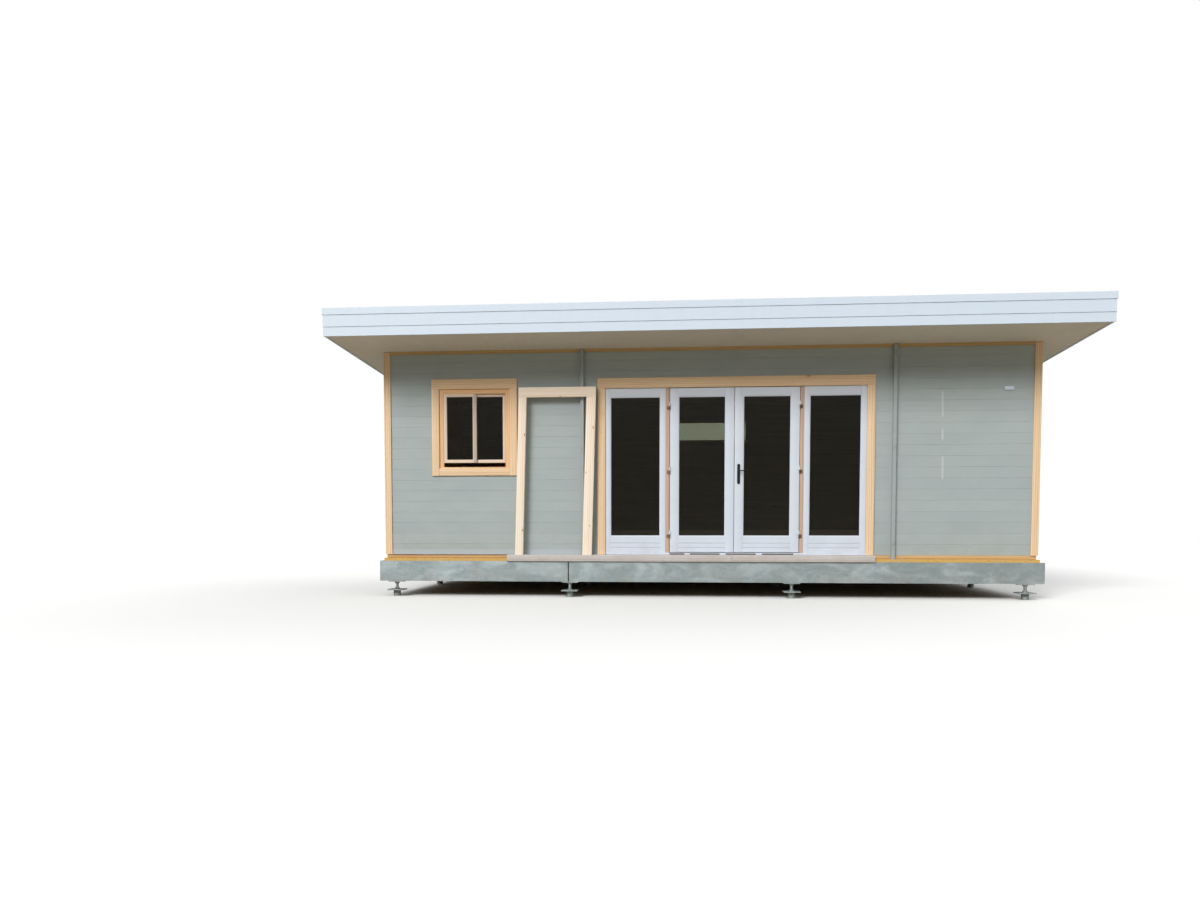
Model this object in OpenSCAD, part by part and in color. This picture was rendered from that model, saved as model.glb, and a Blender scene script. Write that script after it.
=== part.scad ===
// Garden office pod: a timber boarded room on a raised galvanised steel base,
// with a glazed French door set, a sliding window, a roof that falls to the rear
// and a deep front eave. X runs along the front wall, Y runs into the room and
// Z is up from the ground under the piers. The origin is under the middle of the
// roof's outline. All sizes are in millimetres.

/* [Walls] */
// Outside length of the room
wall_len = 8000; // [7200:100:9600]
// Outside depth of the room
wall_dep = 4000; // [3400:100:5000]
// Thickness of the wall boards
wall_t = 44; // [34:1:70]
// Cover height of one wall board
board_pitch = 134; // [130:1:140]
// Number of boards in the front wall
board_rows = 19; // [18:1:21]
// Face width of a corner trim
corner_w = 70; // [50:5:100]
// Thickness of a corner trim
corner_t = 16; // [10:1:25]

/* [Base] */
// Height of the steel base above the ground
pier_h = 190; // [160:5:400]
// Diameter of the pile shaft under a pier
pier_shaft_d = 89; // [60:1:120]
// Side of the square plates of a pier
pier_plate_w = 200; // [150:5:240]
// Thickness of the square plates of a pier
pier_plate_t = 12; // [6:1:16]
// Diameter of the threaded stem of a pier
pier_stem_d = 36; // [24:1:48]
// Length of the threaded stem that shows
pier_stem_len = 92; // [60:1:120]
// Distance of the end piers from the ends of the base
pier_inset = 210; // [150:10:400]
// Place of the pier beside the bearer's joint, from the middle
pier_joint_x = -1640; // [-2000:10:-1300]
// Place of the pier under the doors, from the middle
pier_doors_x = 1090; // [800:10:1400]
// Height of the outer bearers
bearer_h = 254; // [203:1:300]
// Flange width of the outer bearers
bearer_flange = 76; // [60:1:90]
// Skin of the cold-formed bearers
bearer_skin = 3; // [2:0.1:4]
// Return lip of the cold-formed sections
section_lip = 20; // [12:1:26]
// Place of the joint in the front bearer, from the middle
bearer_joint_x = -1655; // [-2000:5:-1300]
// Open joint between two lengths of bearer
bearer_joint_gap = 3; // [1:1:10]
// Length of the base past the end of the walls
base_end = 60; // [0:5:120]
// Depth of the base in front of the front wall
platform_step = 120; // [110:5:200]
// Number of floor joists
joist_count = 15; // [10:1:19]
// Height of a floor joist
joist_h = 152; // [102:1:180]
// Flange width of a floor joist
joist_flange = 64; // [50:1:70]
// Skin of a floor joist
joist_skin = 2; // [1.5:0.1:3]
// Thickness of the floor sheet
sheet_t = 36; // [19:1:40]
// Height of the sole plates under the walls
sole_h = 44; // [35:1:70]
// Thickness of the ledge's front lip
ledge_lip_t = 24; // [15:1:35]
// Length of the ledge past the stored frame
ledge_past_frame = 100; // [50:10:300]
// Height of the flashing on the wall foot
flashing_h = 64; // [40:1:100]
// Foot of the flashing on the ledge
flashing_foot = 18; // [10:1:20]
// Thickness of the flashing
flashing_t = 2; // [1:0.5:4]

/* [Roof] */
// Fall of the roof towards the rear, in degrees
roof_fall = 3; // [2:0.25:4]
// Eave in front of the front wall
eave_front = 900; // [600:10:1100]
// Eave behind the rear wall
eave_rear = 250; // [200:10:400]
// Eave past each end wall
eave_side = 450; // [300:10:600]
// Thickness of the roof boards
deck_t = 28; // [18:1:36]
// Height of a rafter above the roof boards
rafter_h = 190; // [140:5:220]
// Width of a rafter
rafter_w = 45; // [35:1:60]
// Number of rafters
rafter_count = 13; // [9:1:17]
// Height of a batten
batten_h = 35; // [25:1:50]
// Width of a batten
batten_w = 70; // [50:1:90]
// Number of battens
batten_count = 7; // [5:1:9]
// Height of a purlin under the roof boards
purlin_h = 170; // [120:5:200]
// Width of a purlin
purlin_w = 58; // [44:1:80]
// Number of purlins inside the room
purlin_count = 2; // [1:1:3]
// Spacing of the ribs of the roof sheets
rib_pitch = 190; // [150:5:250]
// Height of a rib
rib_h = 29; // [15:1:40]
// Width of a rib at its foot
rib_foot_w = 50; // [40:1:80]
// Width of a rib at its top
rib_top_w = 20; // [15:1:35]
// Skin of the roof sheets
roof_skin = 1; // [0.8:0.1:2]
// Length of the roof sheets past the rear board
sheet_past_rear = 45; // [30:5:60]
// Height of the lower band of the fascia
fascia_low_h = 108; // [90:1:130]
// Height of the middle band of the fascia
fascia_mid_h = 145; // [120:1:170]
// Height of the cap over the fascia
cap_h = 72; // [60:1:90]
// Thickness of the fascia's lower band
fascia_t = 20; // [16:1:30]
// Step from one band of the fascia to the next
band_step = 7; // [4:1:12]
// Drop of the fascia below the roof boards
fascia_drop = 7; // [3:1:20]
// Width of the front cap's leg on the roof
cap_leg = 165; // [120:5:220]
// Skin of the cap
cap_skin = 2; // [1:0.5:3]
// Width of the rear gutter
gutter_w = 115; // [90:5:150]
// Height of the rear gutter
gutter_h = 90; // [70:5:120]
// Skin of the gutter
gutter_skin = 2; // [1:0.5:3]
// Side of the bead under the eave
bead_side = 34; // [20:1:45]

/* [Storm tubes] */
// Distance of the left storm tube from the middle of the doors
left_tube_from_doors = 1880; // [1850:5:1990]
// Distance of the right storm tube from the middle of the doors
right_tube_from_doors = 1915; // [1850:5:2100]
// Side of a storm tube
tube_side = 42; // [30:1:50]
// Skin of a storm tube
tube_skin = 3; // [2:0.5:4]
// Gap between a storm tube and the wall
tube_off_wall = 8; // [4:1:20]
// Side of the plates at the ends of a storm tube
tube_plate_w = 54; // [50:1:56]
// Thickness of the plates of a storm tube
tube_plate_t = 6; // [4:1:10]

/* [Doors] */
// Middle of the door set, from the middle of the wall
doors_x = 390; // [200:10:500]
// Clear width of the doorway between the mullions
doorway_w = 1592; // [1400:2:1700]
// Width of a mullion
mullion_w = 48; // [40:1:70]
// Width of a sidelight
sidelight_w = 750; // [600:5:850]
// Height of the doorway above the sill
doorway_h = 2037; // [1950:1:2080]
// Thickness of the jambs hidden by the trim
jamb_t = 24; // [18:1:40]
// Depth of the door lining
lining_dep = 64; // [60:1:100]
// Thickness of the head of the lining
head_t = 30; // [25:1:45]
// Thickness of the sill
sill_t = 26; // [18:1:40]
// Thickness of the leaves and sidelights
leaf_t = 44; // [38:1:56]
// Gap beside, between and above the leaves
leaf_gap = 6; // [5:1:8]
// Gap under the leaves
leaf_gap_low = 8; // [6:1:12]
// Width of a leaf's stiles
stile_w = 102; // [80:1:120]
// Width of a sidelight's stiles
side_stile_w = 62; // [45:1:90]
// Height of the bottom rails
low_rail_h = 194; // [150:1:240]
// Height of the top rails
top_rail_h = 101; // [80:1:130]
// Height of the lower groove above the foot of a rail
groove_low = 53; // [40:1:60]
// Height of the upper groove above the foot of a rail
groove_high = 108; // [90:1:120]
// Height of a groove
groove_h = 8; // [4:1:12]
// Depth of a groove
groove_dep = 3; // [2:0.5:6]
// Thickness of the glass in one pane
glass_t = 8; // [6:1:24]
// Clearance round a pane of glass
glass_fit = 0.3; // [0.2:0.1:1]
// Width of the trim beside an opening
trim_w = 95; // [70:1:120]
// Height of the trim over an opening
trim_head_h = 125; // [95:1:140]
// Thickness of the trim
trim_t = 20; // [15:1:28]

/* [Hinges and handle] */
// Number of hinges on a leaf
hinge_count = 3; // [2:1:4]
// Distance of the end hinges from the ends of a leaf
hinge_inset = 220; // [150:10:400]
// Diameter of a hinge knuckle
knuckle_d = 16; // [14:1:18]
// Length of a hinge knuckle
knuckle_len = 45; // [30:1:60]
// Diameter of a hinge pin
pin_d = 8; // [6:0.5:10]
// Radial clearance of a hinge pin
pin_fit = 0.05; // [0.03:0.01:0.1]
// Distance of the hinge axis in front of the leaves
hinge_out = 10; // [9:0.5:14]
// Width of a hinge flap
flap_w = 32; // [24:1:38]
// Thickness of a hinge flap
flap_t = 2.5; // [2.3:0.1:4]
// Height of the lever above the foot of a leaf
lever_h = 1003; // [900:5:1100]
// Length of the lever
lever_len = 112; // [90:1:130]
// Diameter of the lever
lever_d = 17; // [12:1:22]
// Reach of the lever from the leaf
lever_out = 48; // [40:1:60]
// Width of the handle plate
plate_w = 36; // [28:1:48]
// Height of the handle plate
plate_h = 250; // [200:5:280]
// Thickness of the handle plate
plate_t = 6; // [4:1:10]
// Height of the lever above the foot of the handle plate
lever_on_plate = 165; // [120:5:180]

/* [Windows] */
// Middle of the front window, from the middle of the wall
window_x = -2856; // [-3100:5:-2800]
// Width of the front window's opening
window_w = 900; // [700:10:1000]
// Height of the front window's opening
window_h = 989; // [800:1:1100]
// Height of the front window's opening above the sole plate
window_z = 1087; // [900:1:1150]
// Face width of a window frame
wframe_w = 45; // [35:1:60]
// Thickness of the window's bottom board
wsill_t = 13; // [10:1:30]
// Open gap under the sashes
sash_lift = 45; // [10:1:60]
// Face width of the sash members
sash_w = 50; // [40:1:65]
// Thickness of a sash
sash_t = 22; // [18:1:28]
// Gap between the two sliding sashes
sash_gap = 2; // [1:0.5:4]
// Clearance of a sash in the frame
sash_fit = 0.3; // [0.2:0.1:1]
// Distance of the outer sash behind the wall face
sash_set = 6; // [2:1:12]
// Thickness of the glass in a sash
sash_glass_t = 5; // [3:1:10]
// Middle of the rear window, from the middle of the wall
rear_window_x = 190; // [0:10:600]
// Width of the rear window's opening
rear_window_w = 1300; // [900:10:1600]
// Height of the rear window's opening
rear_window_h = 375; // [300:5:500]
// Depth of the rear window's opening below the top of the front wall
rear_window_drop = 835; // [780:5:1000]

/* [Stored frame] */
// Middle of the stored frame's foot, from the middle of the doors
stored_x = -2236; // [-2300:1:-2200]
// Width of the stored frame
stored_w = 961; // [900:1:1000]
// Height of the stored frame
stored_h = 2072; // [1900:1:2100]
// Lean of the stored frame's posts, in degrees
stored_lean = 1.6; // [0:0.1:1.8]
// Width of its left post
stored_left_w = 98; // [70:1:110]
// Width of its right post
stored_right_w = 116; // [90:1:120]
// Height of its head
stored_head_h = 121; // [90:1:140]
// Depth of its posts
stored_dep = 60; // [40:1:66]
// Distance of the stored frame from the wall face
stored_off = 58; // [58:1:64]

/* [Hidden] */

$fn = 32;
// Gap between pieces that rest on or meet each other
seat = 0.3;

// Colours
steel = [0.60, 0.65, 0.65];
paint = [0.65, 0.68, 0.66];
soffit_paint = [0.55, 0.52, 0.45];
pine = [0.91, 0.76, 0.56];
window_pine = [0.84, 0.66, 0.46];
pale_pine = [0.93, 0.87, 0.77];
sheet_yellow = [0.86, 0.68, 0.33];
fascia_white = [0.84, 0.88, 0.93];
door_white = [0.86, 0.88, 0.91];
glass_dark = [0.20, 0.23, 0.22, 0.45];
handle_black = [0.05, 0.05, 0.05];

// Levels above the ground
base_top = pier_h + bearer_h;
floor_top = base_top + sheet_t;
sole_top = floor_top + sole_h;
wall_top = sole_top + board_pitch * board_rows;
sill_top = sole_top + sill_t;
doorway_top = sill_top + doorway_h;
rail_foot = sill_top + leaf_gap_low;
glass_low = rail_foot + low_rail_h;
glass_high = doorway_top - leaf_gap - top_rail_h;

// Extents along X
half_len = wall_len / 2;
half_base = half_len + base_end;
half_roof = half_len + eave_side;
doorset_w = doorway_w + 2 * mullion_w + 2 * sidelight_w;
lining_w = doorset_w + 2 * jamb_t;
door_left = doors_x - doorset_w / 2;
door_right = doors_x + doorset_w / 2;
mullion_x = doorway_w / 2 + mullion_w / 2;
leaf_w = doorway_w / 2 - leaf_gap * 1.5;
hinge_x = doorway_w / 2 - leaf_gap / 2;

// Extents along Y, from the outer face of the front wall
base_front = -platform_step;
base_rear = wall_dep + base_end;
front_face = -eave_front - band_step;
rear_board = wall_dep + eave_rear;
rear_face = rear_board + fascia_t + gutter_w;
row_y = -(front_face + rear_face) / 2;
// Front end of the roof boards, rafters and battens, along the slope
slope_front = (-eave_front + band_step + fascia_t) / cos(roof_fall) + seat;

// Heights above the underside of the roof boards, square to the roof
rafter_top = deck_t + rafter_h;
batten_top = rafter_top + batten_h;
rib_top = batten_top + roof_skin + rib_h;
band_low_top = fascia_low_h - fascia_drop;
band_mid_top = band_low_top + fascia_mid_h;
cap_top = band_mid_top + cap_h;

// Ribs of the roof sheets
roof_reach = half_roof - fascia_t - band_step - seat;
rib_count = floor((2 * roof_reach - rib_foot_w) / rib_pitch);
last_rib = (rib_count - 1) * rib_pitch / 2;

// Height of the underside of the roof boards over a point of the floor
function roof_under(y) = wall_top - y * tan(roof_fall);

// Height of the top of the ribs over a point of the floor
function ribs_over(y) = roof_under(y) + rib_top / cos(roof_fall);

// Middle of each storm tube along X
tube_places = [doors_x - left_tube_from_doors, doors_x + right_tube_from_doors];

// Places of the piers along X
pier_places = [-half_base + pier_inset, pier_joint_x, pier_doors_x, half_base - pier_inset];

// Middle of each purlin along Y
purlin_places = [for (i = [1:purlin_count]) i * wall_dep / (purlin_count + 1)];

// Foot of each hinge above the ground
hinge_span = doorway_h - leaf_gap - leaf_gap_low - 2 * hinge_inset;
hinge_feet = [for (i = [0:hinge_count - 1])
    rail_foot + hinge_inset + i * hinge_span / (hinge_count - 1) - knuckle_len];

// Puts a piece that is drawn from the wall's front face into the row's frame
module in_row() {
    translate([0, row_y, 0]) children();
}

// Puts a piece that is drawn square to the roof boards onto the slope
module on_slope() {
    translate([0, row_y, wall_top]) rotate([-roof_fall, 0, 0]) children();
}

// Runs a profile of Y and Z along X
module along_x(from, to) {
    translate([from, 0, 0]) rotate([90, 0, 90]) linear_extrude(to - from) children();
}

// Runs a profile of X and Z along Y
module along_y(from, to) {
    translate([0, to, 0]) rotate([90, 0, 0]) linear_extrude(to - from) children();
}

// A block between two corners
module block(low, high) {
    translate(low) cube(high - low);
}

// Cold-formed channel with return lips, web on the left
module channel(h, flange, skin) {
    difference() {
        square([flange, h]);
        translate([skin, skin]) square([flange - 2 * skin, h - 2 * skin]);
        translate([skin, section_lip]) square([flange, h - 2 * section_lip]);
    }
}

// Adjustable pier: pile shaft, head plate, threaded stem and top plate
module pier() {
    stem_top = pier_h - pier_plate_t - seat;
    head_top = stem_top - pier_stem_len;
    cylinder(d = pier_shaft_d, h = head_top - pier_plate_t / 2);
    translate([-pier_plate_w / 2, -pier_plate_w / 2, head_top - pier_plate_t])
        cube([pier_plate_w, pier_plate_w, pier_plate_t]);
    cylinder(d = pier_stem_d, h = pier_h - pier_plate_t / 2);
    translate([-pier_plate_w / 2, -bearer_flange / 2, stem_top])
        cube([pier_plate_w, bearer_flange, pier_plate_t]);
}

module steel_piers() {
    rows = [base_front + bearer_flange / 2, wall_dep / 2, base_rear - bearer_flange / 2];
    color(steel) in_row()
        for (x = pier_places, y = rows)
            translate([x, y, 0]) pier();
}

module front_bearers() {
    joint = bearer_joint_gap / 2;
    spans = [[-half_base, bearer_joint_x - joint], [bearer_joint_x + joint, half_base]];
    color(steel) in_row()
        for (span = spans)
            along_x(span[0], span[1])
                translate([base_front, pier_h]) channel(bearer_h, bearer_flange, bearer_skin);
}

module rear_bearer() {
    color(steel) in_row()
        along_x(-half_base, half_base)
            translate([base_rear, pier_h]) mirror([1, 0])
                channel(bearer_h, bearer_flange, bearer_skin);
}

module centre_bearer() {
    color(steel) in_row()
        along_x(-half_base + bearer_flange + seat, half_base - bearer_flange - seat)
            translate([wall_dep / 2 - bearer_flange / 2, pier_h])
                channel(bearer_h - joist_h - seat, bearer_flange, bearer_skin);
}

module end_bearers() {
    color(steel) in_row()
        for (side = [-1, 1])
            along_y(base_front + bearer_flange + seat, base_rear - bearer_flange - seat)
                scale([-side, 1]) translate([-half_base, pier_h])
                    channel(bearer_h, bearer_flange, bearer_skin);
}

module floor_joists() {
    first = -half_base + bearer_flange + joist_flange;
    step = -2 * first / (joist_count - 1);
    color(steel) in_row()
        for (i = [0:joist_count - 1])
            along_y(base_front + bearer_flange + seat, base_rear - bearer_flange - seat)
                translate([first + i * step - joist_flange / 2, base_top - joist_h])
                    channel(joist_h, joist_flange, joist_skin);
}

module floor_sheet() {
    color(sheet_yellow) in_row()
        block([-half_len, base_front, base_top], [half_len, wall_dep, floor_top]);
}

module sole_plates() {
    color(pine) in_row() {
        block([-half_len, 0, floor_top], [half_len, wall_t, sole_top]);
        block([-half_len, wall_dep - wall_t, floor_top], [half_len, wall_dep, sole_top]);
        for (x = [-half_len, half_len - wall_t])
            block([x, wall_t + seat, floor_top], [x + wall_t, wall_dep - wall_t - seat, sole_top]);
    }
}

module front_ledge() {
    left = doors_x + stored_x - stored_w / 2 - ledge_past_frame;
    right = door_right + trim_w;
    color(pine) in_row()
        along_x(left, right)
            polygon([
                [base_front - ledge_lip_t, base_top], [base_front, base_top],
                [base_front, floor_top], [0, floor_top],
                [0, sole_top], [base_front - ledge_lip_t, sole_top]
            ]);
}

module base_flashing() {
    color(fascia_white) in_row()
        along_x(-half_len + corner_w, door_left - trim_w)
            polygon([
                [0, sole_top], [0, sole_top + flashing_h], [-flashing_t, sole_top + flashing_h],
                [-flashing_t, sole_top + flashing_t], [-flashing_foot, sole_top + flashing_t],
                [-flashing_foot, sole_top]
            ]);
}

// A stretch of front or rear wall whose top follows the roof
module long_wall(left, right, foot, y) {
    along_x(left, right)
        polygon([
            [y, foot], [y + wall_t, foot],
            [y + wall_t, roof_under(y + wall_t) - seat], [y, roof_under(y) - seat]
        ]);
}

// An end wall between the front and rear walls, notched for the purlins
module end_wall(x) {
    difference() {
        along_x(x, x + wall_t)
            polygon([
                [wall_t, sole_top], [wall_dep - wall_t, sole_top],
                [wall_dep - wall_t, roof_under(wall_dep - wall_t) - seat],
                [wall_t, roof_under(wall_t) - seat]
            ]);
        translate([0, 0, wall_top]) rotate([-roof_fall, 0, 0])
            for (y = purlin_places)
                translate([x - wall_t, y - purlin_w / 2 - seat, -purlin_h - seat])
                    cube([3 * wall_t, purlin_w + 2 * seat, purlin_h + 2 * wall_t]);
    }
}

module front_wall_left() {
    color(paint) in_row()
        difference() {
            long_wall(-half_len, doors_x - lining_w / 2, sole_top, 0);
            block(
                [window_x - window_w / 2, -wall_t, sole_top + window_z],
                [window_x + window_w / 2, 2 * wall_t, sole_top + window_z + window_h]
            );
        }
}

module front_wall_over_doors() {
    color(paint) in_row()
        long_wall(doors_x - lining_w / 2, doors_x + lining_w / 2, doorway_top + head_t, 0);
}

module front_wall_right() {
    color(paint) in_row()
        long_wall(doors_x + lining_w / 2, half_len, sole_top, 0);
}

module left_wall() {
    color(paint) in_row() end_wall(-half_len);
}

module right_wall() {
    color(paint) in_row() end_wall(half_len - wall_t);
}

module rear_wall() {
    color(paint) in_row()
        difference() {
            long_wall(-half_len, half_len, sole_top, wall_dep - wall_t);
            block(
                [rear_left, wall_dep - 2 * wall_t, rear_foot],
                [rear_right, wall_dep + wall_t, rear_head]
            );
        }
}

module corner_trims() {
    color(pine) in_row()
        for (side = [-1, 1], y = [0, wall_dep]) {
            out = y == 0 ? -1 : 1;
            top = roof_under(y == 0 ? corner_w : wall_dep + corner_t) - seat;
            scale([side, 1, 1]) translate([half_len, y, sole_top]) {
                block([0, min(-out * corner_w, out * corner_t), 0],
                    [corner_t, max(-out * corner_w, out * corner_t), top - sole_top]);
                block([-corner_w, min(0, out * corner_t), 0],
                    [corner_t, max(0, out * corner_t), top - sole_top]);
            }
        }
}

module roof_purlins() {
    color(pine) on_slope()
        for (y = purlin_places)
            block([-roof_reach, y - purlin_w / 2, -purlin_h], [roof_reach, y + purlin_w / 2, -seat]);
}

module roof_boards() {
    color(soffit_paint) on_slope()
        block([-roof_reach, slope_front, 0], [roof_reach, rear_board - seat, deck_t]);
}

// Bead under the eave, cut round the two storm tubes
module eave_bead() {
    low = roof_under(0) - seat - bead_side;
    cut = tube_plate_w / 2 + seat;
    end = half_len - corner_w - seat;
    stops = [-end, tube_places[0] - cut, tube_places[0] + cut,
        tube_places[1] - cut, tube_places[1] + cut, end];
    color(pine) in_row()
        for (i = [0:2:4])
            along_x(stops[i], stops[i + 1])
                polygon([
                    [0, low], [0, roof_under(0) - seat],
                    [-bead_side, roof_under(-bead_side) - seat], [-bead_side, low + bead_side / 2]
                ]);
}

module roof_rafters() {
    first = roof_reach - rafter_w / 2;
    step = 2 * first / (rafter_count - 1);
    color(pine) on_slope()
        for (i = [0:rafter_count - 1])
            translate([-first + i * step - rafter_w / 2, 0, 0])
                block([0, slope_front, deck_t + seat], [rafter_w, rear_board - seat, rafter_top]);
}

module roof_battens() {
    step = (rear_board - seat - batten_w - slope_front) / (batten_count - 1);
    color(pine) on_slope()
        for (i = [0:batten_count - 1])
            translate([0, slope_front + i * step, 0])
                block([-roof_reach, 0, rafter_top + seat], [roof_reach, batten_w, batten_top - seat]);
}

module roof_sheets() {
    ribs = [for (i = [0:rib_count - 1]) each [
        [i * rib_pitch - last_rib - rib_foot_w / 2, 0],
        [i * rib_pitch - last_rib - rib_top_w / 2, rib_h],
        [i * rib_pitch - last_rib + rib_top_w / 2, rib_h],
        [i * rib_pitch - last_rib + rib_foot_w / 2, 0]
    ]];
    upper = concat([[-roof_reach, 0]], ribs, [[roof_reach, 0]]);
    count = len(upper);
    lower = [for (i = [0:count - 1]) upper[count - 1 - i] - [0, roof_skin]];
    color(steel) on_slope()
        along_y(-eave_front + band_step, rear_board + sheet_past_rear)
            translate([0, batten_top + roof_skin]) polygon(concat(upper, lower));
}

// Lower and middle band of the fascia, drawn with the outside on the left
module band_profile() {
    polygon([
        [band_step, -fascia_drop], [band_step + fascia_t, -fascia_drop],
        [band_step + fascia_t, band_mid_top], [0, band_mid_top],
        [0, band_low_top], [band_step, band_low_top]
    ]);
}

module front_fascia() {
    under = roof_under(-eave_front + band_step + fascia_t);
    color(fascia_white) in_row()
        along_x(-half_roof, half_roof)
            translate([-eave_front, under]) band_profile();
}

module side_and_rear_fascia() {
    front = slope_front + fascia_drop * tan(roof_fall);
    color(fascia_white) on_slope() {
        for (side = [-1, 1])
            along_y(front, rear_board)
                scale([side, 1]) translate([half_roof, 0]) mirror([1, 0]) band_profile();
        block([-half_roof, rear_board + seat, -fascia_drop],
            [half_roof, rear_board + fascia_t, batten_top - seat]);
    }
}

// Caps of the front and side edges; the front one has a cheek at each end, and
// the side ones have stop ends that fit over the roof sheets
module roof_caps() {
    front = roof_under(-eave_front + band_step + fascia_t);
    cap_foot = band_mid_top - band_step;
    leg_y = front_face + cap_leg;
    leg_z = ribs_over(leg_y) + seat;
    outer = half_roof + band_step;
    leg_x = last_rib - rib_top_w / 2;
    over_pan = batten_top + roof_skin + seat;
    side_front = (leg_y + (cap_top + cap_skin) * sin(roof_fall)) / cos(roof_fall) + seat;
    side_rear = rear_board + fascia_t;
    color(fascia_white) {
        in_row() {
            along_x(-outer, outer)
                polygon([
                    [front_face, front + cap_foot], [front_face + cap_skin, front + cap_foot],
                    [front_face + cap_skin, front + cap_top - cap_skin],
                    [leg_y, leg_z], [leg_y, leg_z + cap_skin],
                    [front_face, front + cap_top]
                ]);
            for (x = [-outer, outer - cap_skin])
                along_x(x, x + cap_skin)
                    polygon([
                        [front_face, front + cap_foot],
                        [leg_y, roof_under(leg_y) + cap_foot], [leg_y, leg_z + cap_skin],
                        [front_face, front + cap_top]
                    ]);
        }
        on_slope()
            for (side = [-1, 1]) {
                along_y(side_front, side_rear)
                    scale([side, 1])
                        polygon([
                            [outer, cap_foot], [outer, cap_top],
                            [leg_x, rib_top + seat + cap_skin], [leg_x, rib_top + seat],
                            [outer - cap_skin, cap_top - cap_skin],
                            [outer - cap_skin, cap_foot]
                        ]);
                for (y = [side_front, side_rear - cap_skin])
                    along_y(y, y + cap_skin)
                        scale([side, 1])
                            polygon([
                                [outer, over_pan], [outer, cap_top],
                                [leg_x, rib_top + seat + cap_skin], [leg_x, rib_top + seat],
                                [last_rib + rib_top_w / 2 + seat, rib_top + seat],
                                [last_rib + rib_foot_w / 2 + seat, over_pan]
                            ]);
            }
    }
}

// Square gutter with stop ends, hung on the rear board
module rear_gutter() {
    board = rear_board + fascia_t;
    rise = batten_top - rib_h;
    top = wall_top - board * sin(roof_fall) + rise * cos(roof_fall);
    inner = board * cos(roof_fall) + rise * sin(roof_fall) + seat;
    color(fascia_white) in_row()
        difference() {
            block([-half_roof, inner, top - gutter_h], [half_roof, rear_face, top]);
            block([-half_roof + gutter_skin, inner + gutter_skin, top - gutter_h + gutter_skin],
                [half_roof - gutter_skin, rear_face - gutter_skin, top + gutter_h]);
        }
}

// Square storm tube with a plate at its foot and head
module storm_tube(foot) {
    mid = -tube_off_wall - tube_side / 2;
    head = roof_under(0) - seat;
    difference() {
        union() {
            block([-tube_side / 2, mid - tube_side / 2, foot],
                [tube_side / 2, mid + tube_side / 2, head]);
            for (z = [foot, head - tube_plate_t])
                block([-tube_plate_w / 2, mid - tube_plate_w / 2, z],
                    [tube_plate_w / 2, mid + tube_plate_w / 2, z + tube_plate_t]);
        }
        block([tube_skin - tube_side / 2, mid - tube_side / 2 + tube_skin, foot - tube_side],
            [tube_side / 2 - tube_skin, mid + tube_side / 2 - tube_skin, head + tube_side]);
    }
}

module storm_tubes() {
    color(paint) in_row() {
        translate([tube_places[0], 0, 0]) storm_tube(sole_top + flashing_t + seat);
        translate([tube_places[1], 0, 0]) storm_tube(floor_top + seat);
    }
}

// Trim boards round an opening: two sides and a head, and a foot board if asked
module trim_boards(left, right, foot, head, with_foot) {
    side_foot = with_foot ? foot - trim_w : foot;
    for (x = [left - trim_w, right])
        block([x, -trim_t, side_foot], [x + trim_w, 0, head - seat]);
    block([left - trim_w, -trim_t, head], [right + trim_w, 0, head + trim_head_h]);
    if (with_foot)
        block([left + seat, -trim_t, foot - trim_w], [right - seat, 0, foot]);
}

module door_trim() {
    color(pine) in_row()
        trim_boards(door_left, door_right, sole_top, doorway_top, false);
}

// Jambs, mullions, head and sill round the leaves and sidelights
module door_lining() {
    posts = [-lining_w / 2, -mullion_x - mullion_w / 2, mullion_x - mullion_w / 2, doorset_w / 2];
    widths = [jamb_t, mullion_w, mullion_w, jamb_t];
    color(pine) in_row() translate([doors_x, 0, 0]) {
        for (i = [0:3])
            block([posts[i], 0, sill_top + seat],
                [posts[i] + widths[i], lining_dep, doorway_top - seat]);
        block([-lining_w / 2, 0, doorway_top], [lining_w / 2, lining_dep, doorway_top + head_t]);
        block([-lining_w / 2, 0, sole_top], [lining_w / 2, lining_dep, sill_top]);
    }
}

// Framed glazed panel with two grooves across its bottom rail
module glazed_panel(w, stile, foot, head) {
    difference() {
        block([0, 0, foot], [w, leaf_t, head]);
        block([stile, -leaf_t, glass_low], [w - stile, 2 * leaf_t, glass_high]);
        for (z = [groove_low, groove_high])
            block([stile, -groove_dep, rail_foot + z], [w - stile, groove_dep, rail_foot + z + groove_h]);
    }
}

// Pane of glass for a framed panel
module panel_glass(w, stile) {
    mid = leaf_t / 2;
    block([stile + glass_fit, mid - glass_t / 2, glass_low + glass_fit],
        [w - stile - glass_fit, mid + glass_t / 2, glass_high - glass_fit]);
}

// Left corner of each sidelight
sidelight_places = [door_left, door_right - sidelight_w];

module sidelight_frames() {
    color(door_white) in_row()
        for (x = sidelight_places)
            translate([x, 0, 0])
                glazed_panel(sidelight_w, side_stile_w, sill_top + seat, doorway_top - seat);
}

module sidelight_glass() {
    color(glass_dark) in_row()
        for (x = sidelight_places)
            translate([x, 0, 0]) panel_glass(sidelight_w, side_stile_w);
}

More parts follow.
